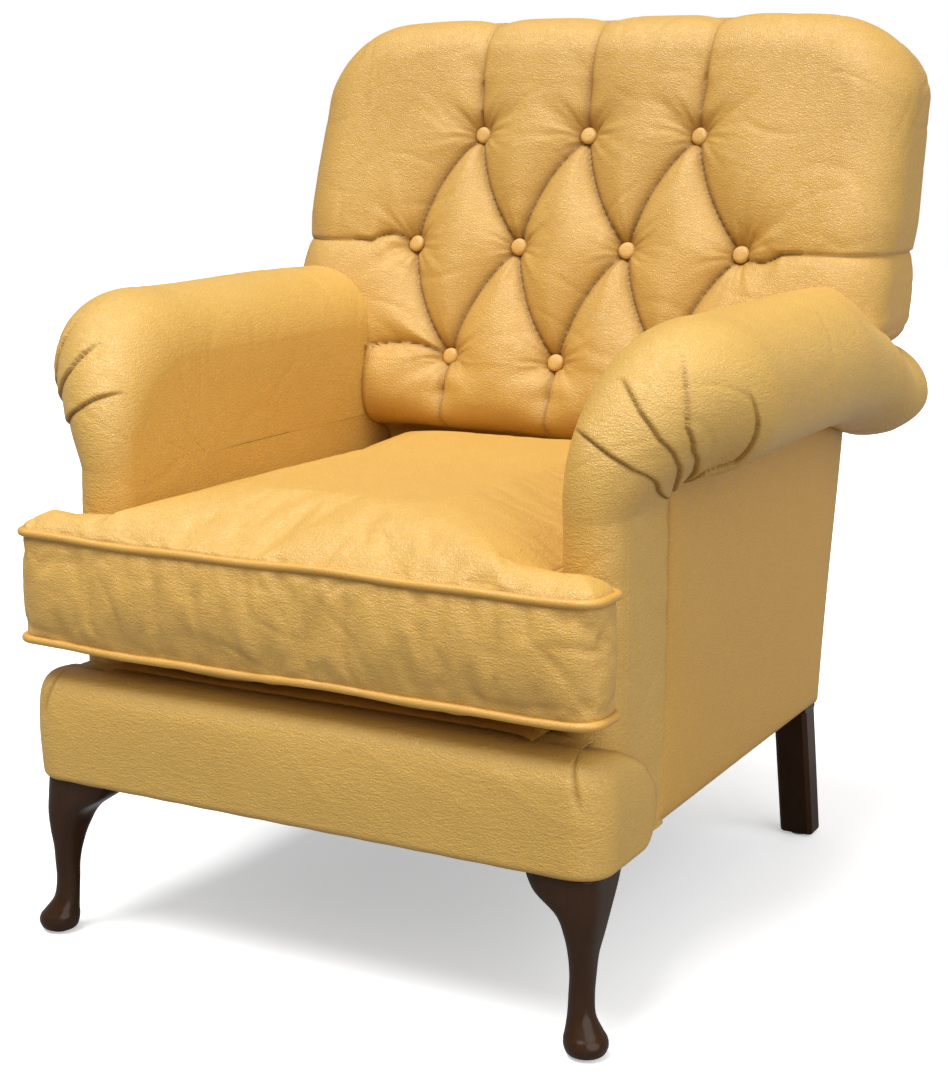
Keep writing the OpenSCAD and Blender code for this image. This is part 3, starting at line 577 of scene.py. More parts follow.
def inside_back():
    """A sheet laid on the face and rolled round every edge. Rows climb the face and go over the
    top, columns cross it and go round the sides, and both bend round the top corners, where
    square rings of the sheet become round ones. The tufting moves it along its normal."""
    wide, low_half, roll, corner = back_high[0], 243.0, 62.0, 44.0
    lip = curve_through([[588, deck_high + 2], [588, 370], [588, 424], [586, 448], [573, 458.5],
                         [551, 465], [532, 478], [523.8, 498], [524.6, 522], [530.6, 544]],
                        np.linspace(0, 1, 40))
    top_face = back_high[2] - roll + roll * np.sin(face_lean)
    face_z = np.arange(546.0, top_face, 2.15)
    steps = np.linspace(0, 1, 62)[1:]
    yb = np.concatenate([lip[:, 0], face_line(face_z), np.full(len(steps), face_line(top_face))])
    zb = np.concatenate([lip[:, 1], face_z, np.full(len(steps), top_face)])
    up = np.concatenate([np.full(len(lip), -1e3), (face_z - top_face) / np.cos(face_lean) + corner,
                         corner + 240.0 * steps])
    # half width and side roll of each row: wide above the arms, narrow between them
    drop = np.clip((612 - zb) / 38, 0, 1)
    half = wide - 34 * (1 - np.sqrt(1 - drop**2))
    narrow = np.clip((562.5 - zb) / 7, 0, 1)
    half = half + (low_half - half) * narrow
    side_roll = roll - 22 * drop
    side_roll = side_roll + (11 - side_roll) * narrow
    flat = half - side_roll
    # columns: fixed in the middle, stretched towards the edge, then round the side
    c = np.concatenate([np.arange(0, 205, 2.2), np.linspace(205, wide - roll, 49)])
    ring = np.concatenate([np.linspace(0, 0.45, 27)[1:], np.linspace(0.45, 0.6, 8)[1:],
                           np.linspace(0.6, 1, 16)[1:]])
    c = np.concatenate([c, np.full(len(ring), wide - roll)])
    across = np.concatenate([np.zeros(len(c) - len(ring)), ring])
    side = np.concatenate([-np.ones(len(c) - 1), np.ones(len(c))])
    c = np.concatenate([c[:0:-1], c])[None, :]
    across = np.concatenate([across[:0:-1], across])[None, :]
    flat, side_roll, yb, zb, up = (v[:, None] for v in (flat, side_roll, yb, zb, up))
    x = np.minimum(c, 205) + np.clip(c - 205, 0, None) * (flat - 205) / (wide - roll - 205)
    out = np.where(across > 0, corner + 240.0 * across, c - (wide - roll) + corner)
    in_corner = (out > 0) & (up > 0)
    reach = np.maximum(out, up)
    with np.errstate(divide="ignore", invalid="ignore"):
        psi = np.where(out >= up, np.pi / 4 * up / out, np.pi / 2 - np.pi / 4 * out / up)
    psi = np.where(in_corner, psi, np.where(up > out, np.pi / 2, 0.0))
    rolled = np.clip((reach - corner) / 240.0, 0, 1)
    inner = np.minimum(reach, corner)
    px = np.where(in_corner, wide - roll - corner + inner * np.cos(psi), x)
    climb = np.where(in_corner, inner * np.sin(psi) - np.minimum(up, corner), 0)
    py = yb + climb * np.sin(face_lean)
    pz = zb + climb * np.cos(face_lean)
    turn_up = np.sin(psi) ** 2
    front_r = side_roll * (1 - turn_up) + roll * turn_up
    thick = np.maximum((rear_line(zb) - yb), 2 * front_r * 0.6) * (1 - turn_up) + 2 * roll * turn_up
    rear_r = np.minimum(30.0, side_roll) * (1 - turn_up) + roll * turn_up
    a = np.clip(rolled / 0.45, 0, 1) * np.pi / 2
    b = np.clip((rolled - 0.45) / 0.15, 0, 1)
    d = np.clip((rolled - 0.6) / 0.3, 0, 1) * np.pi / 2
    e = np.clip((rolled - 0.9) / 0.1, 0, 1)
    lateral = front_r * np.sin(a) - rear_r * (1 - np.cos(d)) - (14 + 14 * np.sqrt(turn_up)) * e
    deep = front_r * (1 - np.cos(a)) + b * (thick - front_r - rear_r) + rear_r * np.sin(d)
    tilt = face_lean * turn_up
    px = px + lateral * np.cos(psi)
    py = py + lateral * np.sin(psi) * np.sin(face_lean) + deep * np.cos(tilt)
    pz = pz + lateral * np.sin(psi) * np.cos(face_lean) - deep * np.sin(tilt)
    # a softer, lower top corner
    pz = pz - 15.0 * np.clip((px - 175) / 190, 0, 1) ** 2.2 * np.clip((pz - 760) / 130, 0, 1)
    base = np.stack([side * px, py, pz], -1)
    sheet_x = side * (x + 216 * across)
    sheet_z = zb + np.where(up > corner, (up - corner) * 0.9, 0)
    hollow, fold = tufting(sheet_x, sheet_z)
    slow = 1.3 * np.sin(sheet_x / 47 + 1.0) * np.sin(sheet_z / 39)
    slow = slow + 0.8 * np.sin(sheet_x / 23 - sheet_z / 31)
    hollow = hollow * np.clip((sheet_z - 478) / 30, 0, 1) + slow * (1 - np.clip(rolled * 3, 0, 1))
    du, dv = np.gradient(base, axis=1), np.gradient(base, axis=0)
    normal = np.cross(du, dv)
    normal /= np.linalg.norm(normal, axis=-1, keepdims=True) + 1e-9
    ease = np.clip((1 - rolled) / 0.25, 0, 1)
    points = base - normal * (hollow * ease)[..., None]
    return points, fold * ease


points, fold = inside_back()
back_hide = hide("ochre_hide_back", (0.67, 0.395, 0.080), crease=0.45)
back_leather = make_piece("inside_back_leather", [(points, grid_faces(*points.shape[:2]))], back_hide,
                          fold=[fold])
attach(back_leather, "chair")
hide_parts("inside_back_cover", "back_pad")


# ------------------------------------------------------------------ back buttons
# Metal button shells covered in the same hide, drawn down on twine through the stuffing.

def covered_buttons():
    """Each is a profile turned about the face's own normal: a flat crown, a round rim and a
    short skirt, each tilted and dented a little differently."""
    profile = np.array([[0, 5.6], [2.5, 5.5], [5, 5.3], [7.2, 4.8], [8.7, 3.9], [9.6, 2.6],
                        [9.9, 1.0], [9.8, -0.6], [9.4, -3.0]])
    profile = curve_through(profile, np.linspace(0, 1, 26))
    turn = np.linspace(0, 2 * np.pi, 48, endpoint=False)
    right, top = np.array([1.0, 0, 0]), np.array([0, np.sin(face_lean), np.cos(face_lean)])
    out = np.array([0, -np.cos(face_lean), np.sin(face_lean)])
    parts = []
    for k, (x, z) in enumerate(buttons):
        lean_x, lean_z = 0.07 * np.sin(2.1 * k + 1), 0.06 * np.sin(3.7 * k)
        seat = np.array([x, face_line(z), z]) - out * 28.5
        r, h = profile[:, :1], profile[:, 1:]
        px, pz = r * np.cos(turn), r * np.sin(turn)
        ph = h + lean_x * px + lean_z * pz + 0.25 * np.sin(3 * turn + k) * (r / 10.5) ** 2
        p = seat + px[..., None] * right + pz[..., None] * top + ph[..., None] * out
        parts.append((p, grid_faces(len(profile), len(turn), close_cols=True)[:, ::-1]))
    return parts


button_leather = make_piece("leather_buttons", covered_buttons(),
                            hide("ochre_hide_button", (0.76, 0.45, 0.115), grain=0.7, crease=0.3))
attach(button_leather, "chair")
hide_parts("back_buttons")


# ------------------------------------------------------------------ outside back
# A flat hide panel on a lining, blind-tacked under the rolled top and closed down both sides
# by hand. It is wide behind the wings, narrow between the arm ends and full width below.

def outside_back():
    """Rows up the rear slope, each stretched to the panel's half width there. The rim turns in
    towards the frame and the middle stands out a little."""
    foot, crest = ends("outside_back")[0][2], ends("outside_back")[1][2] + 15
    arm_end, wing, corner = (568, 299), (588, 358), 32
    z = np.concatenate([np.linspace(foot, 482, 90), np.linspace(485, 566, 27),
                        np.linspace(arm_end[0], wing[0], 12), np.linspace(591, crest, 79)])
    half = np.interp(z, [arm_end[0], wing[0]], [arm_end[1], wing[1]])
    half = half - corner * (1 - np.sqrt(1 - np.clip((z - crest + corner) / corner, 0, 1) ** 2))
    across = np.sin(np.linspace(-1, 1, 150) * np.pi / 2)
    x = half[:, None] * across[None, :]
    from_side = half[:, None] - np.abs(x)
    from_top = (crest - z)[:, None]
    from_foot = (z - foot)[:, None]
    rim = np.minimum(np.minimum(from_side, from_top), from_foot)
    proud = 3.4 * (1 - np.exp(-rim / 16)) + 1.2 * np.sin(x / 90) * np.sin(z[:, None] / 70)
    proud = proud + 0.5 * np.exp(-rim / 20) * np.sin((x + z[:, None]) / 6.5)
    tuck = -6.0 * np.exp(-rim / 2.2)
    y = rear_line(z)[:, None] + (proud + tuck) / np.cos(rear_lean)
    points = np.stack([x, y, z[:, None] - (proud + tuck) * np.sin(rear_lean)], -1)
    # painted shade along the turned-in rim
    return points, np.clip(np.exp(-rim / 2.5) * 0.7, 0, 1)


points, fold = outside_back()
rear_panel = make_piece("outside_back_leather", [(points, grid_faces(*points.shape[:2])[:, ::-1])],
                        panel_hide, fold=[fold])
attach(rear_panel, "chair")
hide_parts("outside_back")


# ------------------------------------------------------------------ inside arms
# Each arm is one hide drawn from the seat up the inside, over the scroll and under it to a
# tacking strip. At the front it turns down the arm's face, and the fullness of the scroll is
# folded into pleats that fan from one point low on the outside.

pole_y, pole_z = 211.0, 475.0
arm_half = ends("outside_arm_right")[1][0]
seat_half = arm_low[0] + 1.0
scroll_r = (arm_high[0] - arm_low[0]) / 2
scroll_x, scroll_h = arm_high[0] - scroll_r, arm_high[2] - scroll_r - pole_z
# each pleat of the fan: (distance from the pole, angle in degrees) along it
fan_pleats = (((0, 9), (60, 14), (90, 17), (130, 19.5), (160, 23), (195, 28), (225, 32)),
              ((0, 22), (50, 26), (98, 27.5), (135, 31), (170, 37), (195, 42), (225, 48)),
              ((0, 40), (20, 42), (60, 36), (98, 34), (128, 38), (157, 46), (194, 56), (204, 59)),
              ((0, 46), (36, 50), (46, 62), (59, 70), (83, 67), (98, 66), (142, 65)))


def arm_sections():
    """Two matching half outlines of the arm, as width and height off the line through the
    pole: up the inner wall, round the front or the scroll, and back to the pole."""
    wall, over, under = (np.linspace(0, 1, n) for n in (34, 80, 56))
    turn = np.pi * (1 - over[1:])
    half_w = (arm_half - seat_half) / 2
    front = np.concatenate([
        np.stack([np.full(34, seat_half), wall * 122], -1),
        np.stack([seat_half + half_w + half_w * np.cos(turn), 122 + 30.0 * np.sin(turn)], -1),
        np.stack([np.full(55, arm_half + 1.0), 122 - under[1:] * 99], -1)])
    back = -under[1:] * np.radians(104)
    tight = scroll_r - 13.0 * np.sin(np.clip(-back * 1.35, 0, np.pi / 2)) ** 2
    scroll = np.concatenate([
        np.stack([np.full(34, seat_half), wall * (scroll_h - 13)], -1),
        np.stack([scroll_x + scroll_r * np.cos(turn * 172 / 180),
                  scroll_h + scroll_r * np.sin(turn * 172 / 180)], -1),
        np.stack([scroll_x + tight * np.cos(back), scroll_h + tight * np.sin(back)], -1)])
    return front, scroll


def arm_surface():
    """Stations run up the arm's front, round a quarter turn about the pole and back along the
    scroll. The outline at each is a blend of the two sections, and at the rear it closes in."""
    front, scroll = arm_sections()
    low_z = ends("front_border")[0][2]
    column = np.linspace(low_z, pole_z, 100)[:-1]
    fan = np.linspace(0, np.pi / 2, 190)[:-1]
    end_y, close = rear_line(arm_high[2] - scroll_r) + 13.5, 50.0
    run = np.concatenate([np.linspace(pole_y, end_y - close, 170), end_y - close + close * np.sin(
        np.linspace(0, np.pi / 2, 32)[1:])])
    blend = np.concatenate([np.zeros(len(column)), np.sin(fan) ** 2, np.ones(len(run))])
    tilt = np.concatenate([np.zeros(len(column)), fan, np.full(len(run), np.pi / 2)])
    slide = np.concatenate([np.zeros(len(column) + len(fan)), run - pole_y])
    fall = np.concatenate([column - pole_z, np.zeros(len(fan) + len(run))])
    shut = np.clip((run - (end_y - close)) / close, 0, 1)
    shut = np.concatenate([np.ones(len(column) + len(fan)), np.sqrt(1 - shut**2.2)])
    blend, tilt, slide, fall, shut = (v[:, None] for v in (blend, tilt, slide, fall, shut))
    outer = np.clip((front[:, 0] - seat_half) / (arm_half - seat_half), 0, 1)
    wide = blend + (np.sin(tilt) ** 1.25 - blend) * outer
    x = front[:, 0] * (1 - wide) + scroll[:, 0] * wide
    h = front[:, 1] * (1 - blend) + scroll[:, 1] * blend
    # the arm's face leans back a little as it rises, and the scroll droops at its front
    h = h + 6.0 * np.sin(2 * tilt) * np.clip(h / 150, 0, 1)
    # under the wide back the scroll is pressed down to a flatter oval, and it droops there
    depth = pole_y + slide
    full = scroll_h + scroll_r
    beyond = np.clip((x - scroll_x - 6) / 50, 0, 1)
    lid = (np.interp(depth, [0, 556, 590, 612, 900], [full, full, 122, 111, 111]) * (1 - beyond)
           + np.interp(depth, [0, 480, 590, 640, 900], [full, full, 140, 108, 102]) * beyond) / full
    droop = 17.0 * np.clip((depth - 590) / 80, 0, 1) ** 1.5 * np.clip((x - seat_half) / 60, 0, 1)
    h = np.where(slide > 0, h * lid - droop * np.clip(1.3 - h / 120, 0, 1), h)
    x = scroll_x - 8 + (x - scroll_x + 8) * shut
    h = 52.0 + (h - 52.0) * np.where(h < 52, 0.75 + 0.25 * shut, shut)
    arc = np.zeros_like(x)
    arc[:, 1:] = np.cumsum(np.hypot(np.diff(x, axis=1), np.diff(h, axis=1)), 1)
    from_pole = arc[:, -1:] - arc
    y = pole_y + slide - h * np.cos(tilt)
    z = pole_z + fall + h * np.sin(tilt)
    points = np.stack([x, y, z], -1)
    # pleats: a crease with an overlapping lip, deepest by the pole and fading round the roll, with
    # painted shade along each crease and round the pole
    lift, fold = np.zeros_like(x), np.zeros_like(x)
    degrees = np.degrees(tilt) + np.clip(slide, 0, 400) * 0.42 + np.clip(fall, -400, 0) * 0.42
    for path in fan_pleats:
        path = np.array(path, float)
        gap = (degrees - np.interp(from_pole, *path.T)) * np.radians(1.0) * np.clip(h, 8, 180)
        reach = np.clip((path[-1, 0] + 8 - from_pole) / 30, 0, 1) * np.clip(from_pole / 8, 0, 1)
        ahead, behind = np.clip(gap, 0, None), np.clip(-gap, 0, None)
        lip = 2.6 * np.exp(-ahead / 15) * (gap > 0) - 1.4 * np.exp(-behind / 11) * (gap <= 0)
        lift = lift + reach * (lip - 2.6 * np.exp(-np.abs(gap) / 1.3))
        fold = np.maximum(fold, 0.75 * np.exp(-np.abs(gap) / 1.2) * reach)
    lift = lift + 0.8 * creases(from_pole, degrees * 2.4, 0.7) * np.clip(from_pole / 60, 0, 1)
    puckers = np.exp(-from_pole / 26) * np.clip(from_pole / 5, 0, 1)
    at_rear = np.clip((slide - (end_y - pole_y - 110)) / 70, 0, 1)
    lift = lift + 1.9 * at_rear * np.exp(-from_pole / 42) * np.sin(slide / 4.6)
    lift = lift + 0.7 * puckers * np.sin(degrees / 3.1)
    slow = np.sin(points[..., 1] / 57 + points[..., 2] / 41) * np.sin(points[..., 0] / 33 + 1)
    lift = lift + 1.3 * slow * np.clip(from_pole / 60, 0, 1)
    fold = np.maximum(fold, np.exp(-from_pole / 3.0) * 0.9)
    lift = lift - 4.0 * np.exp(-from_pole / 4.5)
    du, dv = np.gradient(points, axis=1), np.gradient(points, axis=0)
    normal = np.cross(du, dv)
    normal /= np.linalg.norm(normal, axis=-1, keepdims=True) + 1e-9
    return points + normal * lift[..., None], fold


def inner_wall():
    """Flat sheet behind the arm's face and below the scroll, down to the deck."""
    y, z = np.meshgrid(np.linspace(pole_y, 640, 90), np.linspace(deck_high - 20, pole_z, 50))
    return np.stack([np.full_like(y, seat_half) + 0.8 * np.sin(y / 45) * np.sin(z / 37), y, z], -1)


arm_points, arm_crease_shade = arm_surface()
wall_points = inner_wall()
for side, hand in ((-1, "left"), (1, "right")):
    flip = np.array([side, 1, 1])
    faces, wall_faces = grid_faces(*arm_points.shape[:2]), grid_faces(*wall_points.shape[:2])
    if side < 0:
        faces, wall_faces = faces[:, ::-1], wall_faces[:, ::-1]
    arm = make_piece("inside_arm_leather_" + hand,
                     [(arm_points * flip, faces), (wall_points * flip, wall_faces[:, ::-1])],
                     ochre_hide, fold=[arm_crease_shade, np.zeros(wall_points.shape[:2])])
    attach(arm, "chair")
    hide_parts("inside_arm_" + hand, "arm_pad_" + hand)


# ------------------------------------------------------------------ outside arms
# Flat hide panels on a lining, sewn to the inside arm down the front, tacked under the scroll
# and turned under the side rail.

def outside_arm():
    """Sheet between the front seam, a curve that runs back as it rises, and the rear edge,
    which leans with the back. Its rim is turned in and its middle stands a little proud."""
    low_z = ends("front_border")[0][2]
    high = pole_z + 30
    z = np.linspace(low_z, high, 150)[:, None]
    seam = np.interp(z, [low_z, 184, 232, 287, 345, 403, 449, 475, 493, high],
                     [160, 166, 174, 184, 186, 187, 187, 187, 192, 208])
    rear = rear_line(z) - 1.0
    u = (1 - np.cos(np.linspace(0, np.pi, 200))) / 2
    y = seam - 13 + (rear - seam + 13) * u
    rim = np.minimum(np.minimum(np.clip(y - seam + 1, 0, None), rear - y), z - low_z)
    proud = 3.6 * (1 - np.exp(-rim / 14)) - 5.0 * np.exp(-rim / 2.0)
    top = high - z
    proud = proud + 0.6 * np.sin(y / 83) * np.sin(z / 59)
    proud = proud + 0.55 * np.exp(-top / 34) * np.sin(y / 5.6 + 0.6 * np.sin(y / 31))
    x = arm_half - 0.4 + proud
    x = x + np.clip((z - high + 14) / 14, 0, 1) ** 1.5 * 10
    # painted shade along the turned-in rim
    return np.stack([x, y, z + 0 * y], -1), np.clip(0.8 * np.exp(-rim / 2.6), 0, 1)


panel_points, panel_crease_shade = outside_arm()
for side, hand in ((-1, "left"), (1, "right")):
    faces = grid_faces(*panel_points.shape[:2])
    panel = make_piece("outside_arm_leather_" + hand,
                       [(panel_points * np.array([side, 1, 1]), faces[:, ::-1] if side > 0 else faces)],
                       panel_hide, fold=[panel_crease_shade])
    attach(panel, "chair")
    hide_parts("outside_arm_" + hand)


# ------------------------------------------------------------------ seat deck and dust cover
# The deck under the cushion is thinly padded and covered in hide. Black cambric is tacked
# under the rails to keep the dust in.

def quilted_deck():
    """Sheet over the deck that domes a little in the middle and dips to its edges."""
    low, high = ends("deck_cover")
    x, y = np.meshgrid(np.linspace(low[0], high[0], 120), np.linspace(low[1] - 34, high[1], 130))
    rim = np.minimum(np.minimum(x - low[0], high[0] - x), high[1] - y)
    z = high[2] - 5.0 * np.exp(-rim / 9) + 1.2 * np.sin(x / 60) * np.sin(y / 75) - 0.8
    return np.stack([x, y, z], -1)


deck_points = quilted_deck()
deck = make_piece("deck_leather", [(deck_points, grid_faces(*deck_points.shape[:2]))], panel_hide,
                  fold=[np.zeros(deck_points.shape[:2])])
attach(deck, "chair")
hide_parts("deck_cover", "deck_pad")

paint("dust_cover", jute("black_cambric", (0.030, 0.030, 0.032), (0.008, 0.008, 0.009), 900.0))


# ------------------------------------------------------------------ seat cushion
# A loose T-shaped cushion: a feather wrap on a foam core in a hide case, with a border between
# two rows of piping and a zip along its back.

cushion_low, cushion_high = ends("cushion_boxing")
welt_low = (ends("cushion_piping_bottom")[0][2] + ends("cushion_piping_bottom")[1][2]) / 2
welt_top = (ends("cushion_piping_top")[0][2] + ends("cushion_piping_top")[1][2]) / 2
ear_half, cushion_front, cushion_rear = cushion_high[0], cushion_low[1], cushion_high[1]
body_half, ear_rear = seat_half - 6.0, cushion_low[1] + 58.0


def cushion_outline(inset, count):
    """Closed T in plan with rounded corners, evenly spaced points. Each corner is an arc, and
    the two inner corners of the T turn the other way."""
    corners = [(-ear_half, cushion_front, 20), (ear_half, cushion_front, 20), (ear_half, ear_rear, 16),
               (body_half, ear_rear, -9), (body_half, cushion_rear, 22),
               (-body_half, cushion_rear, 22), (-body_half, ear_rear, -9), (-ear_half, ear_rear, 16)]
    path = []
    for k, (x, y, r) in enumerate(corners):
        here = np.array([x, y])
        before = np.array(corners[k - 1][:2])
        after = np.array(corners[(k + 1) % len(corners)][:2])
        a, b = (before - here), (after - here)
        a, b = a / np.linalg.norm(a), b / np.linalg.norm(b)
        sign = 1 if r > 0 else -1
        here = here + (a + b) * inset * sign
        arc_r = abs(r) - inset * sign
        centre = here + (a + b) * arc_r
        t = np.linspace(0, np.pi / 2, 24)[:, None]
        path.append(centre - b * arc_r * np.cos(t) - a * arc_r * np.sin(t))
    path = np.concatenate(path)
    path = np.concatenate([path, path[:1]])
    run = np.concatenate([[0], np.cumsum(np.hypot(*np.diff(path, axis=0).T))])
    at = np.linspace(0, run[-1], count, endpoint=False)
    return np.stack([np.interp(at, run, path[:, 0]), np.interp(at, run, path[:, 1])], -1)


def welt_height(x, y, level):
    """The rows of piping wander: they lift at the front corners and dip between them."""
    front = np.clip(1 - (y - cushion_front) / 120, 0, 1)
    wander = np.sin(x / 58 + 0.6) + 0.6 * np.sin(x / 25) + 2.0 * (np.abs(x) / ear_half) ** 3
    return level + front * wander


def depth_inside(x, y):
    """Distance in from the edge of the T: the larger of the depths inside its two rectangles."""
    body = np.minimum(np.minimum(body_half - np.abs(x), y - cushion_front), cushion_rear - y)
    ears = np.minimum(np.minimum(ear_half - np.abs(x), y - cushion_front), ear_rear - y)
    both = np.maximum(body, ears)
    return np.clip(both + 5.0 * np.exp(-np.abs(body - ears) / 12.0) * np.clip(both / 20, 0, 1), 0, None)


def drawn_in(x, y):
    """Plan of the filled cushion: its sides, front and rear pull in between the corners."""
    t = np.clip((y - ear_rear) / (cushion_rear - ear_rear), 0, 1)
    front = np.clip(1 - (y - cushion_front) / 60, 0, 1) ** 2
    rear = np.clip(1 - (cushion_rear - y) / 60, 0, 1) ** 2
    x = x - np.sign(x) * 3.0 * np.sin(np.pi * t) * np.clip(np.abs(x) / body_half, 0, 1) ** 4
    return x, y + 3.5 * front * (1 - (x / ear_half) ** 2) - 5.0 * rear * (1 - (x / body_half) ** 2)


def finished(piece):
    """A new mesh of the piece with its modifiers applied."""
    return bpy.data.meshes.new_from_object(piece.evaluated_get(bpy.context.evaluated_depsgraph_get()))


def mesh_arrays(mesh):
    """Points in millimetres from the border's face, and the quads, of a mesh."""
    p = np.zeros(len(mesh.vertices) * 3, np.float32)
    mesh.vertices.foreach_get("co", p)
    f = np.zeros(len(mesh.loops), np.int32)
    mesh.loops.foreach_get("vertex_index", f)
    p = p.reshape(-1, 3).astype(float)
    return (p - np.array([0.0, border_face, 0.0])) * 1000, f.reshape(-1, 4)


def cut_case():
    """The core's mesh in even 5 mm cells, moved to the slack form of the sewn case. Above and
    below the seams it crowns as 1 - exp(-depth / width), and between them it swells out."""
    blank = bpy.data.objects.new("case_blank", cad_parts["cushion_core"].data.copy())
    chair_scene.collection.objects.link(blank)
    blank.matrix_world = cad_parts["cushion_core"].matrix_world.copy()
    cells = blank.modifiers.new("even cells", "REMESH")
    cells.mode, cells.voxel_size = "VOXEL", 0.005
    even = finished(blank)
    even.transform(blank.matrix_world)
    bpy.data.objects.remove(blank)
    p, f = mesh_arrays(even)
    x, y, z = p.T
    inward = depth_inside(x, y)
    step = 0.5
    slope_x = depth_inside(x + step, y) - depth_inside(x - step, y)
    slope_y = depth_inside(x, y + step) - depth_inside(x, y - step)
    v = np.clip((z - welt_low) / (welt_top - welt_low), 0, 1)
    out = (2.8 + 4.0 * np.sin(np.pi * v) ** 0.8) * np.exp(-inward / 5.0)
    ear = np.clip((np.abs(x) - body_half + 30) / 60, 0, 1)
    depth = np.clip(inward - 1.0, 0, None)
    top = 52.0 * (1 - np.exp(-depth / 24.0)) ** 0.8 * (1 - 0.22 * ear)
    under = 14.0 * (1 - np.exp(-depth / 30.0)) ** 0.8
    z = np.where(z > welt_top, welt_top + top, np.where(z < welt_low, welt_low - under, z))
    z = z + welt_height(x, y, 0.0)
    x, y = x - slope_x * out, y - slope_y * out
    x, y = drawn_in(x, y)
    return np.stack([x, y, z], -1), f, inward


def filled_case():
    """The case pinned along its seams and blown up as cloth, with two parts in a hundred more
    hide than it needs, then divided once. How far a point may move is capped, and the top is
    stretched in height to reach its crown."""
    furthest, crown = 24.0, 474.0
    p, f, inward = cut_case()
    case = make_piece("case_slack", [(p, f)], cushion_hide, weld=False)
    seam = np.exp(-(np.minimum(np.abs(p[:, 2] - welt_low), np.abs(p[:, 2] - welt_top)) / 7.0) ** 2)
    seam = seam * (inward < 7.0)
    pins = case.vertex_groups.new(name="seams")
    pins.add(np.flatnonzero(seam > 0.4).tolist(), 1.0, "REPLACE")
    cloth = case.modifiers.new("filling", "CLOTH")
    fabric = cloth.settings
    fabric.quality, fabric.mass = 5, 0.3
    fabric.tension_stiffness, fabric.compression_stiffness = 14.0, 14.0
    fabric.shear_stiffness, fabric.bending_stiffness = 7.0, 0.6
    fabric.use_pressure, fabric.uniform_pressure_force = True, 4.0
    fabric.shrink_min = -0.02
    fabric.vertex_group_mass = "seams"
    fabric.effector_weights.gravity = 0.0
    cloth.collision_settings.use_self_collision = False
    for step in range(1, 21):
        chair_scene.frame_set(step)
    moved = mesh_arrays(finished(case))[0] - p
    far = np.linalg.norm(moved, axis=1, keepdims=True)
    moved = moved * np.minimum(1, furthest / np.maximum(far, 1e-6))
    case.modifiers.remove(cloth)
    chair_scene.frame_set(1)
    q = p + moved
    level = np.percentile(q[:, 2], 97)
    crowned = welt_top + (q[:, 2] - welt_top) * (crown - welt_top) / (level - welt_top)
    q[:, 2] = np.where(q[:, 2] > welt_top + 2, crowned, q[:, 2])
    case.data.vertices.foreach_set("co", (q * 0.001 + np.array([0.0, border_face, 0.0])).ravel())
    case.data.update()
    finer = case.modifiers.new("finer", "SUBSURF")
    finer.levels = finer.render_levels = 1
    mesh = finished(case)
    bpy.data.objects.remove(case)
    return mesh


def cushion_case():
    """The filled case with what its hide does: puckers along the seams, creases drawn across
    the border and slow dimples where people have sat."""
    mesh = filled_case()
    p, f = mesh_arrays(mesh)
    normal = np.zeros(len(p) * 3, np.float32)
    mesh.vertex_normals.foreach_get("vector", normal)
    normal = normal.reshape(-1, 3).astype(float)
    x, y, z = p.T
    inward = depth_inside(x, y)
    border = np.clip((z - welt_low) / 10, 0, 1) * np.clip((welt_top - z) / 10, 0, 1)
    border = border * (inward < 16)
    run = np.where(np.abs(normal[:, 1]) > 0.6, x, y + 40)
    top = np.clip((z - welt_top) / 8, 0, 1)
    at_seam = np.exp(-inward / 22.0)
    lift = border * 1.4 * creases(run, z * 1.3, 0.4)
    middle = np.exp(-((run - 10) / 120.0) ** 2) + 0.8 * np.exp(-((np.abs(run) - 285) / 40) ** 2)
    lift = lift + border * 0.7 * middle * np.sin(run / 6.4 + 1.3 * np.sin(z / 17 + run / 41))
    puckers = np.sin(x / 6.5 + 2.0 * np.sin(y / 33)) * np.clip(inward / 5, 0, 1)
    dimples = np.sin(x / 71 + 0.4) * np.sin(y / 63 + 1.1) * (1 - at_seam)
    lift = lift + top * at_seam * 0.4 * puckers
    lift = lift + top * (0.6 * creases(x * 0.8, y * 0.8, 2.0) * np.exp(-inward / 70.0) + 1.5 * dimples)
    # painted shade: darker along both seams and in the hollows of the border's creases
    off_seam = np.minimum(np.abs(z - welt_top), np.abs(z - welt_low)) + 3.0 * np.clip(inward - 4, 0, None)
    fold = np.clip(0.9 * np.exp(-off_seam / 4.0) - 0.12 * lift * border, 0, 1)
    return [(p + normal * lift[:, None], f)], [fold]


cushion_hide = hide("ochre_hide_cushion", (0.70, 0.415, 0.088), grain=1.0, crease=0.7)
parts, crease_shades = cushion_case()
case = make_piece("seat_cushion_case", parts, cushion_hide, fold=crease_shades, weld=False)
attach(case, "cushion")
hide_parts("cushion_boxing", "cushion_top_panel", "cushion_bottom_panel", "cushion_core")


def piping(level):
    """A round cord in hide carried along the seam, a little uneven in thickness and line."""
    edge = cushion_outline(0.6, 1100)
    out = np.roll(edge, -1, 0) - np.roll(edge, 1, 0)
    out = np.stack([out[:, 1], -out[:, 0]], -1) / np.hypot(*out.T)[:, None]
    turn = np.linspace(0, 2 * np.pi, 20, endpoint=False)[None, :]
    run = np.arange(len(edge))[:, None]
    r = 4.1 + 0.10 * np.sin(run / 3.1) + 0.12 * np.sin(run / 11.0)
    shift = 0.6 + r * np.cos(turn) + 0.5 * np.sin(run / 29.0)
    x, y = edge[:, :1], edge[:, 1:]
    px, py = drawn_in(x + out[:, :1] * shift, y + out[:, 1:] * shift)
    p = np.stack([px, py, welt_height(x, y, level) + r * np.sin(turn)], -1)
    return p, grid_faces(len(edge), turn.size, close_rows=True, close_cols=True)[:, ::-1]


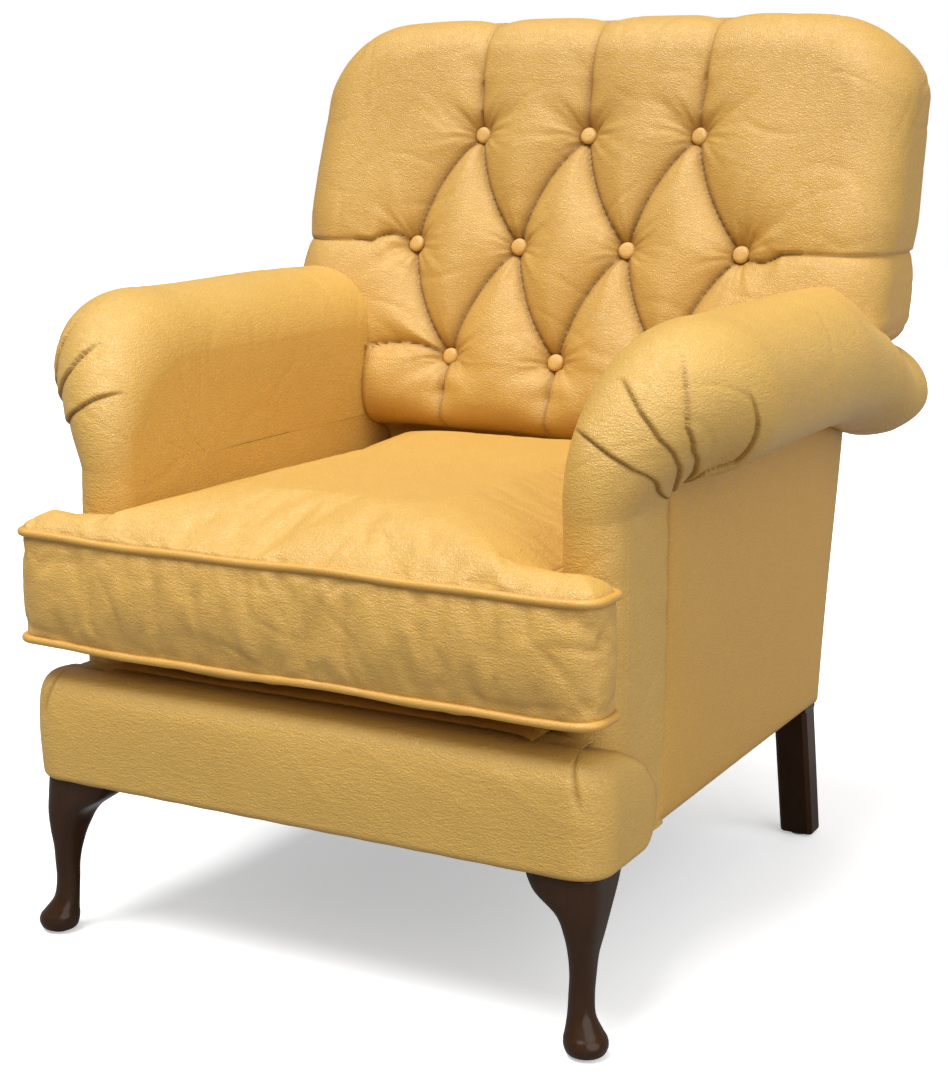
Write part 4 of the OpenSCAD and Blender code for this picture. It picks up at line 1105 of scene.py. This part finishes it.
piping_hide = hide("ochre_hide_piping", (0.68, 0.375, 0.066), grain=0.5, crease=0.4)
for name, level in (("cushion_piping_top", welt_top), ("cushion_piping_bottom", welt_low)):
    cord = make_piece(name + "_leather", [piping(level)], piping_hide, weld=False)
    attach(cord, "cushion")
    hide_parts(name)


# ------------------------------------------------------------------ zip
# A metal-toothed zip on cloth tape in the back of the cushion's border, with its slider and
# pull.

paint("cushion_zip", jute("zip_tape", (0.30, 0.20, 0.09), (0.14, 0.09, 0.04), 700.0))
paint("zip_slider", plated_steel("zip_brass", (0.70, 0.52, 0.24), 0.28))


# ------------------------------------------------------------------ camera, lights and floor
# The chair stands on a plain white floor under three broad soft lights, the brightest high over
# its front, and is seen from its front right.

camera = bpy.data.objects.new("camera", bpy.data.cameras.new("camera"))
chair_scene.collection.objects.link(camera)
camera.location = (0.9965, border_face - 1.4987, 0.8253)
camera.rotation_euler = (np.radians(90 - 11.73), 0, np.radians(28.59))
camera.data.sensor_width, camera.data.lens = 36.0, 66.816
camera.data.shift_x, camera.data.shift_y = 0.01356, -0.00834
chair_scene.camera = camera


def soft_sun(name, azimuth, height, spread, strength):
    """A far soft light: its direction as an azimuth from the front and a height, in degrees,
    and its width across the sky."""
    light = bpy.data.lights.new(name, "SUN")
    light.angle, light.energy = np.radians(spread), strength
    lamp = bpy.data.objects.new(name, light)
    lamp.rotation_euler = (np.radians(90 - height), 0, np.radians(azimuth))
    chair_scene.collection.objects.link(lamp)


soft_sun("key", -22, 68, 32, 2.75)
soft_sun("fill", 66, 30, 60, 1.5)
soft_sun("top", 0, 85, 50, 0.7)

world = bpy.data.worlds.new("studio")
world.use_nodes = True
sky = world.node_tree.nodes["Background"]
sky.inputs["Color"].default_value = (1, 1, 1, 1)
s = Strand(world.node_tree)
seen = s.node("LightPath", out=0)
world.node_tree.links.new((0.30 + seen * 0.70).socket, sky.inputs["Strength"])
chair_scene.world = world
chair_scene.view_settings.view_transform = "Standard"

floor_mesh = bpy.data.meshes.new("floor")
floor_mesh.from_pydata([(-9, -9, 0), (9, -9, 0), (9, 9, 0), (-9, 9, 0)], [], [(0, 1, 2, 3)])
floor = bpy.data.objects.new("floor", floor_mesh)
chair_scene.collection.objects.link(floor)
material, shader, s = new_finish("white_floor", Roughness=0.9, Specular_IOR_Level=0.1,
                                 Emission_Strength=0.4)
where = s.node("TexCoord", out=3)
speck = s.node("TexNoise", {}, {"Vector": where, "Scale": 3.0})
seen = s.node("LightPath", out=0)
white = s.tint(speck, (0.90, 0.90, 0.90), (0.93, 0.93, 0.93))
feed(shader, s, Base_Color=s.tint(seen, (0.26, 0.26, 0.26), white),
     Emission_Color=s.tint(seen, (0.0, 0.0, 0.0), (1.0, 1.0, 1.0)))
floor_mesh.materials.append(material)
